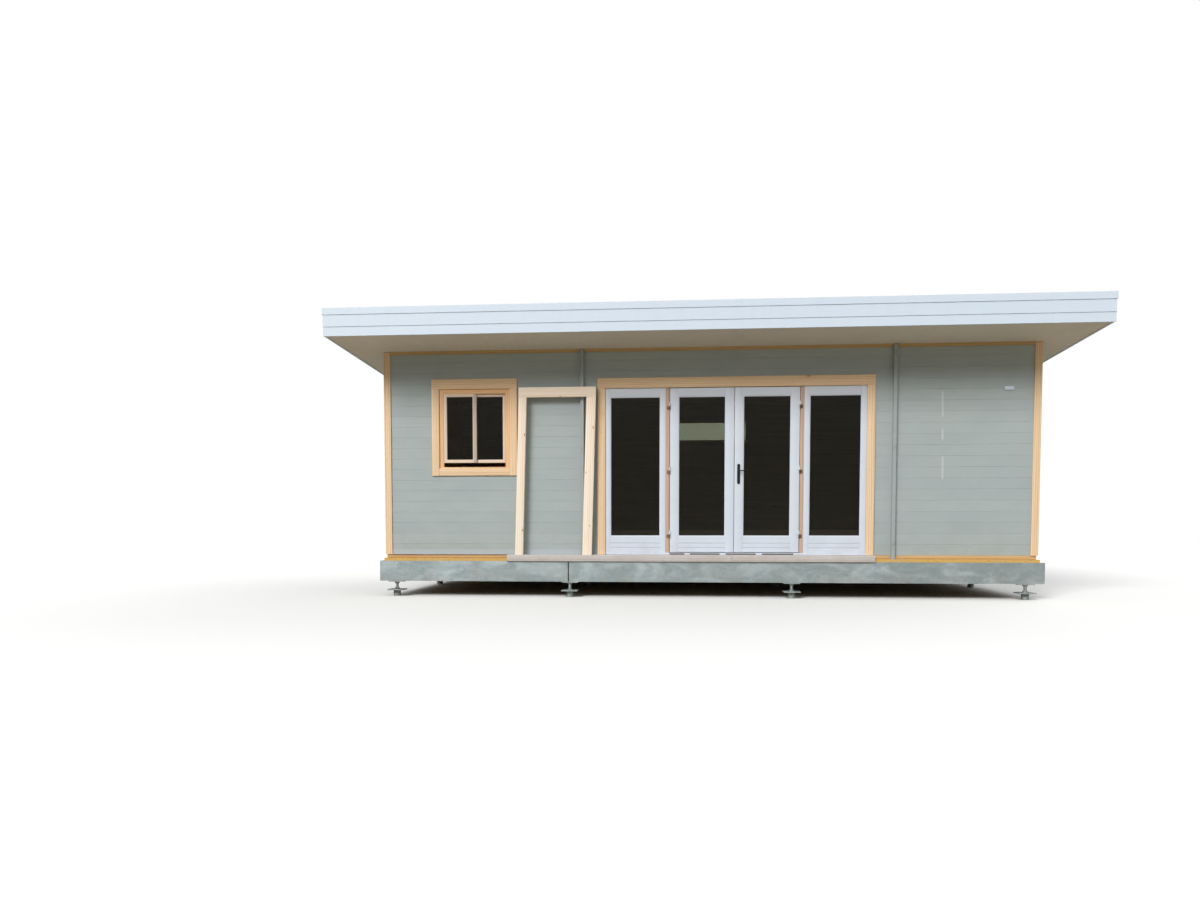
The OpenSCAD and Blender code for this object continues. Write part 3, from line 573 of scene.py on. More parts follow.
class Effects:
    """Shader groups that several finishes share, each built once."""

    def __init__(self) -> None:
        """Builds the groups."""
        self.figure = self._group("wood figure", self._figure)
        self.knots = self._group("knots", self._knots, "Share")
        self.patches = self._group("mottled patches", self._patches, "Cells")
        self.soil = self._group("soil", self._soil, "Low", "High")
        self.rows = self._group("board rows", self._rows, "Foot", "Pitch")

    @staticmethod
    def _group(name: str, fill: Callable, *numbers: str) -> NodeTree:
        """Makes a group that takes a vector and numbers, and gives numbers.

        Args:
            name: Name of the group.
            fill: Makes its nodes from its graph and inputs, and gives its outputs by name.
            *numbers: Names of the inputs that are numbers.

        Returns:
            The group's tree.
        """
        tree = bpy.data.node_groups.new(name, "ShaderNodeTree")
        tree.interface.new_socket(name="Vector", in_out="INPUT", socket_type="NodeSocketVector")
        for label in numbers:
            tree.interface.new_socket(name=label, in_out="INPUT", socket_type="NodeSocketFloat")
        graph = Graph(tree)
        gives = fill(graph, graph.node("NodeGroupInput").outputs)
        for label in gives:
            tree.interface.new_socket(name=label, in_out="OUTPUT", socket_type="NodeSocketFloat")
        graph.node("NodeGroupOutput", gives)
        return tree

    @staticmethod
    def _figure(graph: Graph, start: Sockets) -> dict[str, NodeSocket]:
        """Wood figure: wide wavy bands, fine streaks and pores along the grain.

        Args:
            graph: Graph of the group.
            start: Its inputs.

        Returns:
            Its outputs.
        """
        vector = start["Vector"]
        streaks = graph.noise(graph.stretched(vector, 0.9, 26, 26), 1.0, 5.0, 0.62, 0.5)
        bands = graph.node("TexWave", {
            "Vector": graph.stretched(vector, 0.35, 9, 9), "Scale": 1.6, "Distortion": 7.0,
            "Detail": 2.0, "Detail Scale": 0.8}, bands_direction="Y").outputs[1]
        return {"Figure": graph.weighed(streaks, 0.62, bands, 0.38),
                "Pores": graph.noise(graph.stretched(vector, 6, 260, 260), 1.0, 2.0, 0.5)}

    @staticmethod
    def _knots(graph: Graph, start: Sockets) -> dict[str, NodeSocket]:
        """Knots: cells stretched along the grain, of which a share holds a dark core.

        Args:
            graph: Graph of the group.
            start: Its inputs.

        Returns:
            Its outputs.
        """
        cell = graph.node("TexVoronoi", {
            "Vector": graph.stretched(start["Vector"], 2.8, 8.5, 8.5), "Scale": 1.0,
            "Randomness": 0.85}).outputs
        held = graph.math("LESS_THAN", graph.part(cell["Color"], 0), start["Share"])
        size = graph.spread(graph.part(cell["Color"], 1), 0.0, 1.0, 0.6, 1.15)
        far = graph.math("DIVIDE", cell["Distance"], size)
        return {"Core": graph.times(graph.spread(far, 0.12, 0.06), held),
                "Halo": graph.times(graph.spread(far, 0.34, 0.10), held)}

    @staticmethod
    def _patches(graph: Graph, start: Sockets) -> dict[str, NodeSocket]:
        """Mottled surface: crystal cells over large smears.

        Args:
            graph: Graph of the group.
            start: Its inputs.

        Returns:
            Its outputs.
        """
        vector = start["Vector"]
        bent = graph.node("TexNoise", {"Vector": vector, "Scale": 20.0}).outputs[1]
        there = graph.value("VectorMath", {0: vector, 1: graph.stretched(bent, *[0.02] * 3)},
                            operation="ADD")
        cell = graph.node("TexVoronoi", {"Vector": there, "Scale": start["Cells"]}).outputs
        smears = graph.noise(graph.stretched(vector, 1.0, 1.0, 2.2), 2.6, 6.0, 0.62, 0.8)
        return {"Cells": graph.part(cell["Color"], 0), "Smears": graph.spread(smears, 0.38, 0.68)}

    @staticmethod
    def _soil(graph: Graph, start: Sockets) -> dict[str, NodeSocket]:
        """Dirt that thins out with height, broken up by noise.

        Args:
            graph: Graph of the group.
            start: Its inputs.

        Returns:
            Its outputs.
        """
        reach = graph.spread(graph.part(start["Vector"], 2), start["High"], start["Low"])
        broken = graph.spread(graph.noise(start["Vector"], 5.0, 6.0, 0.65), 0.36, 0.68)
        return {"Soil": graph.times(reach, broken)}

    @staticmethod
    def _rows(graph: Graph, start: Sockets) -> dict[str, NodeSocket]:
        """Tone of each row of boards: one random value for each step of the height.

        Args:
            graph: Graph of the group.
            start: Its inputs.

        Returns:
            Its outputs.
        """
        height = graph.math("SUBTRACT", graph.part(start["Vector"], 2), start["Foot"])
        row = graph.math("FLOOR", graph.math("DIVIDE", height, start["Pitch"]))
        return {"Tone": graph.value("TexWhiteNoise", {"W": row}, noise_dimensions="1D")}


EFFECTS = Effects()


@dataclass(frozen=True)
class Finish:
    """A named finish of two colours, of a kind that a subclass gives."""

    name: str
    coat: Colour
    other: Colour

    def surface(self, graph: Graph, place: NodeSocket) -> dict[str, Feed]:
        """Feeds of the surface shader."""
        raise NotImplementedError

    @cache
    def build(self) -> Material:
        """Makes the material, once.

        Returns:
            The material.
        """
        material = bpy.data.materials.new(self.name)
        graph = Graph.blank(material)
        shader = graph.value("BsdfPrincipled", self.surface(graph, graph.place()))
        graph.node("OutputMaterial", {0: shader})
        return material

    @staticmethod
    def soiled(graph: Graph, colour: NodeSocket, place: NodeSocket, share: float, reach: tuple,
               tint: Colour) -> NodeSocket:
        """A colour with dirt on it that thins out between two heights.

        Args:
            graph: Graph of the material.
            colour: The clean colour.
            place: Object coordinates.
            share: Share of the dirt where it is thickest.
            reach: The two heights.
            tint: Colour of the dirt.

        Returns:
            The colour.
        """
        if not share:
            return colour
        soil = graph.use(EFFECTS.soil, Vector=place, Low=reach[0], High=reach[1])["Soil"]
        return graph.stain(colour, soil, share, tint)


@dataclass(frozen=True)
class Timber(Finish):
    """Sawn or planed softwood, with its dark streaks in the other colour."""

    along: Along = Along.MAP
    knots: float = 0.3
    knot: Colour = tone(150, 92, 48)
    knot_cells: float = 1.0
    rough: float = 0.62
    soil: float = 0.0

    def surface(self, graph: Graph, place: NodeSocket) -> dict[str, Feed]:
        """Feeds of the surface shader.

        Args:
            graph: Graph of the material.
            place: Object coordinates.

        Returns:
            Values or sockets by input.
        """
        vector = graph.lengthwise(self.along)
        figure = graph.use(EFFECTS.figure, Vector=vector)
        cells = graph.stretched(vector, *[self.knot_cells] * 3)
        knots = graph.use(EFFECTS.knots, Vector=cells, Share=self.knots)
        slow = graph.noise(graph.stretched(vector, 0.5, 3.0, 3.0), 1.0, 2.0)
        colour = graph.blend(graph.spread(figure["Figure"], 0.30, 0.74), self.coat, self.other)
        colour = graph.blend(graph.spread(slow, 0.30, 0.70, 0.0, 0.35), colour, self.other)
        colour = graph.stain(colour, knots["Halo"], 0.45, self.other)
        colour = graph.stain(colour, knots["Core"], 0.85, self.knot)
        colour = self.soiled(graph, colour, place, self.soil, (0.3, 1.6), tone(150, 136, 118))
        height = graph.weighed(figure["Figure"], 0.6, figure["Pores"], 0.4)
        rough = graph.spread(figure["Figure"], 0.2, 0.8, self.rough - 0.08, self.rough + 0.10)
        return {"Base Color": colour, "Roughness": rough,
                "Normal": graph.bump(height, 0.5, 0.0012)}


@dataclass(frozen=True)
class Paint(Finish):
    """Brushed paint over timber, worn to the other colour, with the grain faintly raised."""

    rough: float = 0.55
    relief: float = 0.35
    row_tone: float = 0.0
    soil: float = 0.0
    soil_reach: tuple = (0.45, 1.1)
    smears: bool = False

    def surface(self, graph: Graph, place: NodeSocket) -> dict[str, Feed]:
        """Feeds of the surface shader.

        Args:
            graph: Graph of the material.
            place: Object coordinates.

        Returns:
            Values or sockets by input.
        """
        figure = graph.use(EFFECTS.figure, Vector=graph.lengthwise(Along.MAP))
        cloud = graph.noise(graph.stretched(place, 1.0, 1.0, 2.0), 1.7, 5.0, 0.6)
        share = graph.spread(cloud, 0.32, 0.72, 0.0, 0.45)
        if self.row_tone:
            rows = graph.use(EFFECTS.rows, Vector=place, Foot=SITE.sole_top, Pitch=SITE.board)
            share = graph.math("ADD", share, graph.times(rows["Tone"], self.row_tone))
        brush = graph.times(graph.spread(figure["Figure"], 0.35, 0.75), 0.22)
        colour = graph.blend(graph.math("ADD", share, brush), self.coat, self.other)
        if self.smears:
            colour = graph.stain(colour, self._smears(graph, place), 0.5, tone(206, 212, 210))
        colour = self.soiled(graph, colour, place, self.soil, self.soil_reach,
                             tone(138, 124, 104))
        height = graph.weighed(figure["Figure"], 0.55, figure["Pores"], 0.45)
        rough = graph.spread(cloud, 0.3, 0.7, self.rough - 0.07, self.rough + 0.09)
        return {"Base Color": colour, "Roughness": rough,
                "Normal": graph.bump(height, self.relief, 0.0009)}

    @staticmethod
    def _smears(graph: Graph, place: NodeSocket) -> NodeSocket:
        """Three pale filler marks, one above another, on the right of the front wall.

        Args:
            graph: Graph of the material.
            place: Object coordinates.

        Returns:
            Mask of the marks.
        """
        middle, centre, blur = 2.2, 2.866, 0.02
        rise = graph.part(place, 2)
        lean = graph.weighed(graph.math("SUBTRACT", rise, middle), -0.016,
                             graph.noise(place, 14.0, 3.0), 0.016)
        off = graph.math("SUBTRACT", graph.part(place, 0), graph.math("ADD", lean, centre))
        line = graph.spread(graph.math("ABSOLUTE", off), 0.014, 0.008)
        dashes = 0.0
        for low, high in ((1.45, 1.72), (1.92, 2.05), (2.20, 2.50)):
            dash = graph.times(graph.spread(rise, low - blur, low + blur),
                               graph.spread(rise, high + blur, high - blur))
            dashes = graph.math("MAXIMUM", dashes, dash)
        front = graph.math("LESS_THAN", graph.part(place, 1), SITE.wall_y + 0.01)
        return graph.times(graph.times(line, dashes), front)


@dataclass(frozen=True)
class Steel(Finish):
    """Zinc-coated or bare metal, with mottled patches of the other colour."""

    metal: float = 0.55
    rough: float = 0.45
    cells: float = 60.0
    soil: float = 0.0

    def surface(self, graph: Graph, place: NodeSocket) -> dict[str, Feed]:
        """Feeds of the surface shader.

        Args:
            graph: Graph of the material.
            place: Object coordinates.

        Returns:
            Values or sockets by input.
        """
        patches = graph.use(EFFECTS.patches, Vector=place, Cells=self.cells)
        share = graph.weighed(patches["Cells"], 0.30, patches["Smears"], 0.55)
        colour = graph.blend(share, self.coat, self.other)
        rough = graph.spread(share, 0.0, 0.9, self.rough - 0.10, self.rough + 0.16)
        if self.soil:
            dirt = graph.use(EFFECTS.soil, Vector=place, Low=0.05, High=0.55)["Soil"]
            colour = graph.stain(colour, dirt, self.soil, tone(128, 112, 92))
            rough = graph.math("ADD", rough, graph.times(dirt, 0.3))
        return {"Base Color": colour, "Metallic": self.metal, "Roughness": rough,
                "Normal": graph.bump(patches["Smears"], 0.15, 0.001)}


@dataclass(frozen=True)
class Enamel(Finish):
    """Factory-painted sheet metal or moulded fitting, streaked with the other colour."""

    rough: float = 0.38
    metal: float = 0.0

    def surface(self, graph: Graph, place: NodeSocket) -> dict[str, Feed]:
        """Feeds of the surface shader.

        Args:
            graph: Graph of the material.
            place: Object coordinates.

        Returns:
            Values or sockets by input.
        """
        runs = graph.noise(graph.stretched(place, 7.0, 7.0, 1.1), 1.0, 5.0, 0.6)
        share = graph.spread(runs, 0.42, 0.80, 0.0, 0.3)
        return {"Base Color": graph.blend(share, self.coat, self.other), "Metallic": self.metal,
                "Roughness": graph.spread(runs, 0.3, 0.8, self.rough - 0.05, self.rough + 0.12),
                "Normal": graph.bump(graph.noise(place, 240.0, 2.0, 0.6), 0.06, 0.0006)}


@dataclass(frozen=True)
class Glass(Finish):
    """Clear window glass with faint smudges of the other colour."""

    gloss: float = 0.5

    def surface(self, graph: Graph, place: NodeSocket) -> dict[str, Feed]:
        """Feeds of the surface shader.

        Args:
            graph: Graph of the material.
            place: Object coordinates.

        Returns:
            Values or sockets by input.
        """
        smudge = graph.noise(place, 6.0, 5.0, 0.65, 0.6)
        return {"Base Color": graph.blend(graph.spread(smudge, 0.4, 0.8), self.coat, self.other),
                "Roughness": graph.spread(smudge, 0.45, 0.85, 0.0, 0.05), "Metallic": 0.0,
                "Transmission Weight": 1.0, "IOR": 1.45, "Specular IOR Level": self.gloss}


@dataclass(frozen=True)
class ChipSheet(Finish):
    """Pressed flooring with chips of the other colour and joints between its sheets."""

    def surface(self, graph: Graph, place: NodeSocket) -> dict[str, Feed]:
        """Feeds of the surface shader.

        Args:
            graph: Graph of the material.
            place: Object coordinates.

        Returns:
            Values or sockets by input.
        """
        sheet_width, joint_share = 0.9, 0.004
        cell = graph.node("TexVoronoi", {"Vector": graph.stretched(place, 60.0, 140.0, 300.0),
                                         "Scale": 1.0}).outputs
        chips = graph.spread(graph.part(cell["Color"], 0), 0.55, 1.0, 0.0, 0.7)
        colour = graph.blend(chips, self.coat, self.other)
        across = graph.math("FRACT", graph.math("DIVIDE", graph.part(place, 0), sheet_width))
        joint = graph.math("LESS_THAN", across, joint_share)
        colour = graph.stain(colour, joint, 0.7, tone(90, 66, 40))
        dust = graph.spread(graph.noise(place, 3.0, 6.0, 0.7), 0.45, 0.75, 0.0, 0.4)
        return {"Base Color": graph.blend(dust, colour, tone(188, 172, 142)),
                "Roughness": graph.spread(chips, 0.0, 0.7, 0.58, 0.72),
                "Normal": graph.bump(cell["Distance"], 0.25, 0.0008)}


FRAMING = tone(214, 182, 134), tone(184, 142, 92)


class Coat(Enum):
    """Every finish of the pod."""

    WALLS = Paint("wall paint", tone(172, 182, 182), tone(160, 171, 173), row_tone=0.28,
                  soil=0.14, smears=True)
    INSIDE = Timber("inside of the wall boards", tone(214, 184, 140), tone(186, 146, 98))
    SOFFIT = Paint("soffit paint", tone(224, 218, 206), tone(211, 204, 191))
    PINE = Timber("planed pine", tone(240, 214, 180), tone(224, 188, 146), knots=0.1,
                  knot=tone(186, 134, 86))
    BEAD = Timber("eave bead timber", tone(200, 170, 120), tone(182, 146, 94), knots=0.15)
    WINDOW = Timber("window pine", tone(245, 206, 158), tone(225, 174, 122), knots=0.12)
    SASH = Timber("sash pine", tone(238, 223, 208), tone(225, 198, 175), knots=0.06)
    # Darker, greyer copy of the sash pine for the front sash's meeting stile: painted shade.
    SHADED_STILE = Timber("meeting stile pine with painted shade", tone(196, 184, 173), tone(184, 163, 147),
                   knots=0.06)
    LINING = Timber("door lining timber", tone(208, 182, 162), tone(184, 148, 124), knots=0.1)
    LEDGE = Timber("ledge timber", tone(203, 200, 199), tone(189, 178, 171), knots=0.15,
                   soil=0.2)
    STRUCTURE = Timber("framing timber", *FRAMING)
    FRAME_X = Timber("framing timber along x", *FRAMING, along=Along.X)
    FRAME_Y = Timber("framing timber along y", *FRAMING, along=Along.Y)
    STORED = Timber("stored frame timber", tone(251, 241, 227), tone(241, 219, 193),
                    knots=0.85, knot=tone(150, 98, 62), knot_cells=1.9)
    SHEET = ChipSheet("chip floor sheet", tone(214, 172, 92), tone(176, 130, 62))
    GALVANISED = Steel("galvanised steel", tone(162, 178, 182), tone(195, 206, 209), soil=0.5)
    ROOF_STEEL = Steel("roof steel", tone(158, 166, 169), tone(180, 187, 190), metal=0.12,
                       rough=0.58, cells=130.0)
    WHITE_METAL = Enamel("white sheet metal", tone(212, 225, 239), tone(198, 210, 224))
    FLASHING = Enamel("flashing metal", tone(176, 184, 188), tone(160, 168, 173))
    TUBE = Paint("tube paint", tone(164, 172, 172), tone(152, 160, 161), rough=0.45,
                 relief=0.1, soil=0.25)
    WHITE = Paint("white door paint", tone(216, 224, 236), tone(205, 213, 225), rough=0.4,
                  relief=0.15, soil=0.14, soil_reach=(0.5, 0.85))
    # Door paint darkened in the bottom rails' grooves: painted shade.
    GROOVE_SHADE = Paint("door paint with painted shade in the grooves", tone(190, 199, 213), tone(178, 187, 201), relief=0.1)
    # The window glass is tinted dark so that the room seen through it looks shaded: painted shade.
    GLASS = Glass("window glass", (0.32, 0.33, 0.27, 1.0), (0.3104, 0.3201, 0.2619, 1.0),
                  gloss=0.12)
    REAR_GLASS = Glass("rear window glass", (0.5, 0.53, 0.44, 1.0),
                       (0.485, 0.5141, 0.4268, 1.0), gloss=0.06)
    BLACK = Enamel("black metal", tone(28, 28, 30), tone(48, 48, 50), rough=0.42, metal=0.3)
    RUBBER = Enamel("black gasket", tone(30, 31, 32), tone(44, 44, 44), rough=0.7)
    # Grey strip in the gap under the leaves, standing for that gap's shade: painted shade.
    SHADE_STRIP = Enamel("grey strip for painted shade under the leaves", tone(104, 101, 100), tone(118, 114, 111), rough=0.65)
    HINGE = Steel("hinge metal", tone(132, 108, 90), tone(156, 132, 112), metal=0.7,
                  rough=0.35, cells=400.0)
    ZINC = Steel("zinc fixings", tone(150, 154, 156), tone(190, 192, 194), metal=0.8,
                 rough=0.4, cells=500.0)

    @property
    def material(self) -> Material:
        """The finish as a material."""
        return self.value.build()


def dress() -> None:
    """Gives each CAD node its material."""
    plan = {
        Coat.GALVANISED: ("steel_piers", "front_bearers", "rear_bearer", "centre_bearer",
                          "end_bearers", "floor_joists"),
        Coat.SHEET: ("floor_sheet",),
        Coat.FRAME_X: ("sole_plates", "roof_battens", "roof_purlins"),
        Coat.FRAME_Y: ("roof_rafters",),
        Coat.LEDGE: ("front_ledge",),
        Coat.FLASHING: ("base_flashing",),
        Coat.WHITE_METAL: ("front_fascia", "side_and_rear_fascia", "roof_caps", "rear_gutter"),
        Coat.WALLS: ("front_wall_left", "front_wall_over_doors", "front_wall_right",
                     "left_wall", "right_wall", "rear_wall"),
        Coat.PINE: ("corner_trims", "door_trim", "window_trim"),
        Coat.BEAD: ("eave_bead",),
        Coat.SOFFIT: ("roof_boards",),
        Coat.ROOF_STEEL: ("roof_sheets",),
        Coat.TUBE: ("storm_tubes",),
        Coat.LINING: ("door_lining",),
        Coat.WHITE: ("sidelight_frames", "left_door", "right_door"),
        Coat.GLASS: ("sidelight_glass", "left_door_glass", "right_door_glass", "window_glass"),
        Coat.REAR_GLASS: ("rear_window_glass",),
        Coat.HINGE: ("hinge_pins",),
        Coat.BLACK: ("door_handle",),
        Coat.WINDOW: ("window_frame", "rear_window_frame"),
        Coat.SASH: ("window_sashes",),
        Coat.STORED: ("stored_frame",),
    }
    for coat, names in plan.items():
        for name in names:
            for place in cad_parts[name].material_slots:
                place.material = coat.material


# Sub-assemblies


@dataclass(frozen=True)
class Wall:
    """One wall: its span along its run from a place on its outer face, its top and holes."""

    seed: int
    name: str
    nodes: tuple
    span: tuple
    place: Array
    run: Array
    inward: Array
    top: float
    fall: float
    holes: tuple


@dataclass
class BoardedWalls:
    """Walls of stacked boards with a small vee at each joint, on both faces."""

    thick: float = 0.044
    vee_deep: float = 0.0022
    vee_high: float = 0.0025
    purlin_half: float = 0.0293
    purlin_high: float = 0.1703
    least_len: float = 0.001
    least_high: float = 0.004
    least_end: float = 0.003
    feather: float = 0.0008
    marks: tuple = (0, 1, 1, 1, 0, 0, 0, 0)

    def _profile(self, height: float) -> Array:
        """Outline of a board across its length, from its outer lower corner.

        Args:
            height: Height of the board.

        Returns:
            Points of thickness and height, the inner face on edges 1 to 3.
        """
        deep, high, thick = self.vee_deep, min(self.vee_high, height * 0.3), self.thick
        return np.array([
            (deep, 0), (thick - deep, 0), (thick, high), (thick, height - high),
            (thick - deep, height), (deep, height), (0, height - high), (0, high)])

    def _lengths(self, row: Hole, holes: tuple) -> list[Hole]:
        """Lengths of board that are left of one row.

        Args:
            row: The whole row.
            holes: Holes in the wall.

        Returns:
            The lengths.
        """
        lengths = [row]
        for start, end, low, high in holes:
            if low >= row.high or high <= row.low:
                continue
            cut = []
            for length in lengths:
                a, b, foot, top = length
                if start >= b or end <= a:
                    cut.append(length)
                else:
                    cut += [Hole(a, start, foot, top), Hole(end, b, foot, top),
                            Hole(start, end, foot, low), Hole(start, end, high, top)]
            lengths = [part for part in cut if part.end - part.start > self.least_len
                       and part.high - part.low > self.least_high]
        return lengths

    def _stack(self, wall: Wall) -> None:
        """Stacks the rows of one wall.

        A row under the roof's edge is cut where the edge crosses its foot and
        its top, and its height follows the edge in between.

        Args:
            wall: The wall.
        """
        shell = Shell(wall.seed)
        for row in range(SITE.rows):
            foot = SITE.sole_top + row * SITE.board
            whole = Hole(*wall.span, foot, foot + SITE.board)
            for a, b, low, high in self._lengths(whole, wall.holes):
                breaks = [a, b]
                if wall.fall:
                    crossings = [(wall.top - level) / wall.fall for level in (low, high)]
                    breaks += [cross for cross in crossings if a < cross < b]
                breaks.sort()
                for pair in zip(breaks, breaks[1:]):
                    ends = [min(high, wall.top - wall.fall * at) - low for at in pair]
                    if max(ends) < self.least_end:
                        continue
                    outlines = np.stack([self._profile(max(size, self.feather))
                                         for size in ends])
                    path = wall.place + np.outer(pair, wall.run) + low * Z_AXIS
                    shell.sweep(outlines, path, wall.inward, Z_AXIS, np.array(self.marks))
        shell.finish(wall.name, Slot.WALL_PAINT, Coat.WALLS, Coat.INSIDE, nodes=wall.nodes)

    def build(self) -> None:
        """Makes the four walls."""
        over_purlin, slope = 9.0, math.tan(SITE.fall)
        along = (-SITE.half_len, SITE.half_len)
        between = (self.thick, SITE.depth - self.thick)
        notches = tuple(
            Hole(back - self.purlin_half, back + self.purlin_half,
                 SITE.roof_under(back) - self.purlin_high / math.cos(SITE.fall), over_purlin)
            for back in SITE.purlins)
        self._stack(Wall(11, "front_wall_boards",
                         ("front_wall_left", "front_wall_over_doors", "front_wall_right"),
                         along, SITE.wall_y * Y_AXIS, X_AXIS, Y_AXIS,
                         SITE.roof_under(self.thick) - SITE.seat, 0.0, (WINDOW, DOORS)))
        self._stack(Wall(12, "rear_wall_boards", ("rear_wall",), along,
                         (SITE.wall_y + SITE.depth) * Y_AXIS, X_AXIS, -Y_AXIS,
                         SITE.roof_under(SITE.depth) - SITE.seat, 0.0, (REAR_WINDOW,)))
        for seed, sign, side in ((13, -1, "left"), (14, 1, "right")):
            face = np.array([sign * SITE.half_len, SITE.wall_y, 0])
            self._stack(Wall(seed, f"{side}_wall_boards", (f"{side}_wall",), between, face,
                             Y_AXIS, -sign * X_AXIS, SITE.wall_top - SITE.seat, slope,
                             notches))


@dataclass
class Roof:
    """Soffit boards, purlins and eave bead, and the screws of the roof sheets."""

    reach: float = 4.4227
    front: float = -0.8739
    rear: float = 4.2497
    boards: int = 92
    board_t: float = 0.028
    vee: float = 0.0012
    purlin_w: float = 0.058
    purlin_h: float = 0.170
    bead: float = 0.034
    bead_inset: float = 0.0703
    rib_pitch: float = 0.190
    ribs: int = 46
    last_rib: float = 4.275
    rib_top: float = 0.283
    battens: int = 7
    batten_step: float = 0.8423
    batten_half: float = 0.035
    tube_clear: float = 0.0273

    def build(self) -> None:
        """Makes the pieces of the roof."""
        self._soffit()
        self._purlins()
        self._bead()
        self._sheet_screws()

    def _soffit(self) -> None:
        """Boards that run down the slope, with a small vee at each joint below."""
        shell = Shell(21)
        width = 2 * self.reach / self.boards
        vee, half, thick = self.vee, width / 2, self.board_t
        outline = np.array([(-half + vee, 0), (half - vee, 0), (half, vee), (half, thick),
                            (-half, thick), (-half, vee)])
        for number in range(self.boards):
            x = -self.reach + (number + 0.5) * width
            path = np.stack([SITE.on_slope(x, self.front, 0), SITE.on_slope(x, self.rear, 0)])
            shell.sweep(outline, path, X_AXIS, SITE.off_slope)
        shell.finish("soffit_boards", Slot.SOFFIT, Coat.SOFFIT, nodes=("roof_boards",))

    def _purlins(self) -> None:
        """Two purlins that run through the end walls."""
        shell = Shell(22)
        outline = rounded(self.purlin_w, self.purlin_h - SITE.seat, 0.003)
        for down in SITE.purlins:
            rise = -(self.purlin_h + SITE.seat) / 2
            path = np.stack([SITE.on_slope(x, down, rise) for x in (-self.reach, self.reach)])
            shell.sweep(outline, path, SITE.down_slope, SITE.off_slope)
        shell.finish("purlins", Slot.STRUCTURE, Coat.STRUCTURE, nodes=("roof_purlins",))

    def _bead(self) -> None:
        """Three lengths of bead under the eave, cut round the storm tubes."""
        shell = Shell(23)
        side, top = self.bead, SITE.roof_under(0) - SITE.seat
        low = top - side
        outline = np.array([(0, low), (0, top), (-side, top + side * math.tan(SITE.fall)),
                            (-side, low + side * 0.62), (-side * 0.86, low + 0.012),
                            (-side * 0.6, low + 0.006)])
        end = SITE.half_len - self.bead_inset
        cuts = [tube + sign * self.tube_clear for tube in SITE.tubes for sign in (-1, 1)]
        stops = [-end, *cuts, end]
        for left, right in zip(stops[::2], stops[1::2]):
            path = np.array([[left, SITE.wall_y, 0], [right, SITE.wall_y, 0]])
            shell.sweep(outline, path, Y_AXIS, Z_AXIS)
        shell.finish("eave_bead_strips", Slot.PINE, Coat.BEAD, nodes=("eave_bead",))

    def _sheet_screws(self) -> None:
        """Hexagon-headed screws with washers on every other rib, over the battens."""
        stamp = stamped(24, ([0, 0.0015, 0.002], [0.011, 0.011, 0.009], 14),
                        ([0.0015, 0.007, 0.008], [0.0065, 0.0065, 0.005], 6))
        turn = np.stack([X_AXIS, SITE.down_slope, SITE.off_slope], axis=1)
        places = [SITE.on_slope(rib * self.rib_pitch - self.last_rib,
                                self.front + step * self.batten_step + self.batten_half,
                                self.rib_top)
                  for step in range(1, self.battens) for rib in range(0, self.ribs, 2)]
        Shell(25).scatter(stamp, places, turn).finish("roof_screws", Slot.ROOF_STEEL, Coat.ZINC)


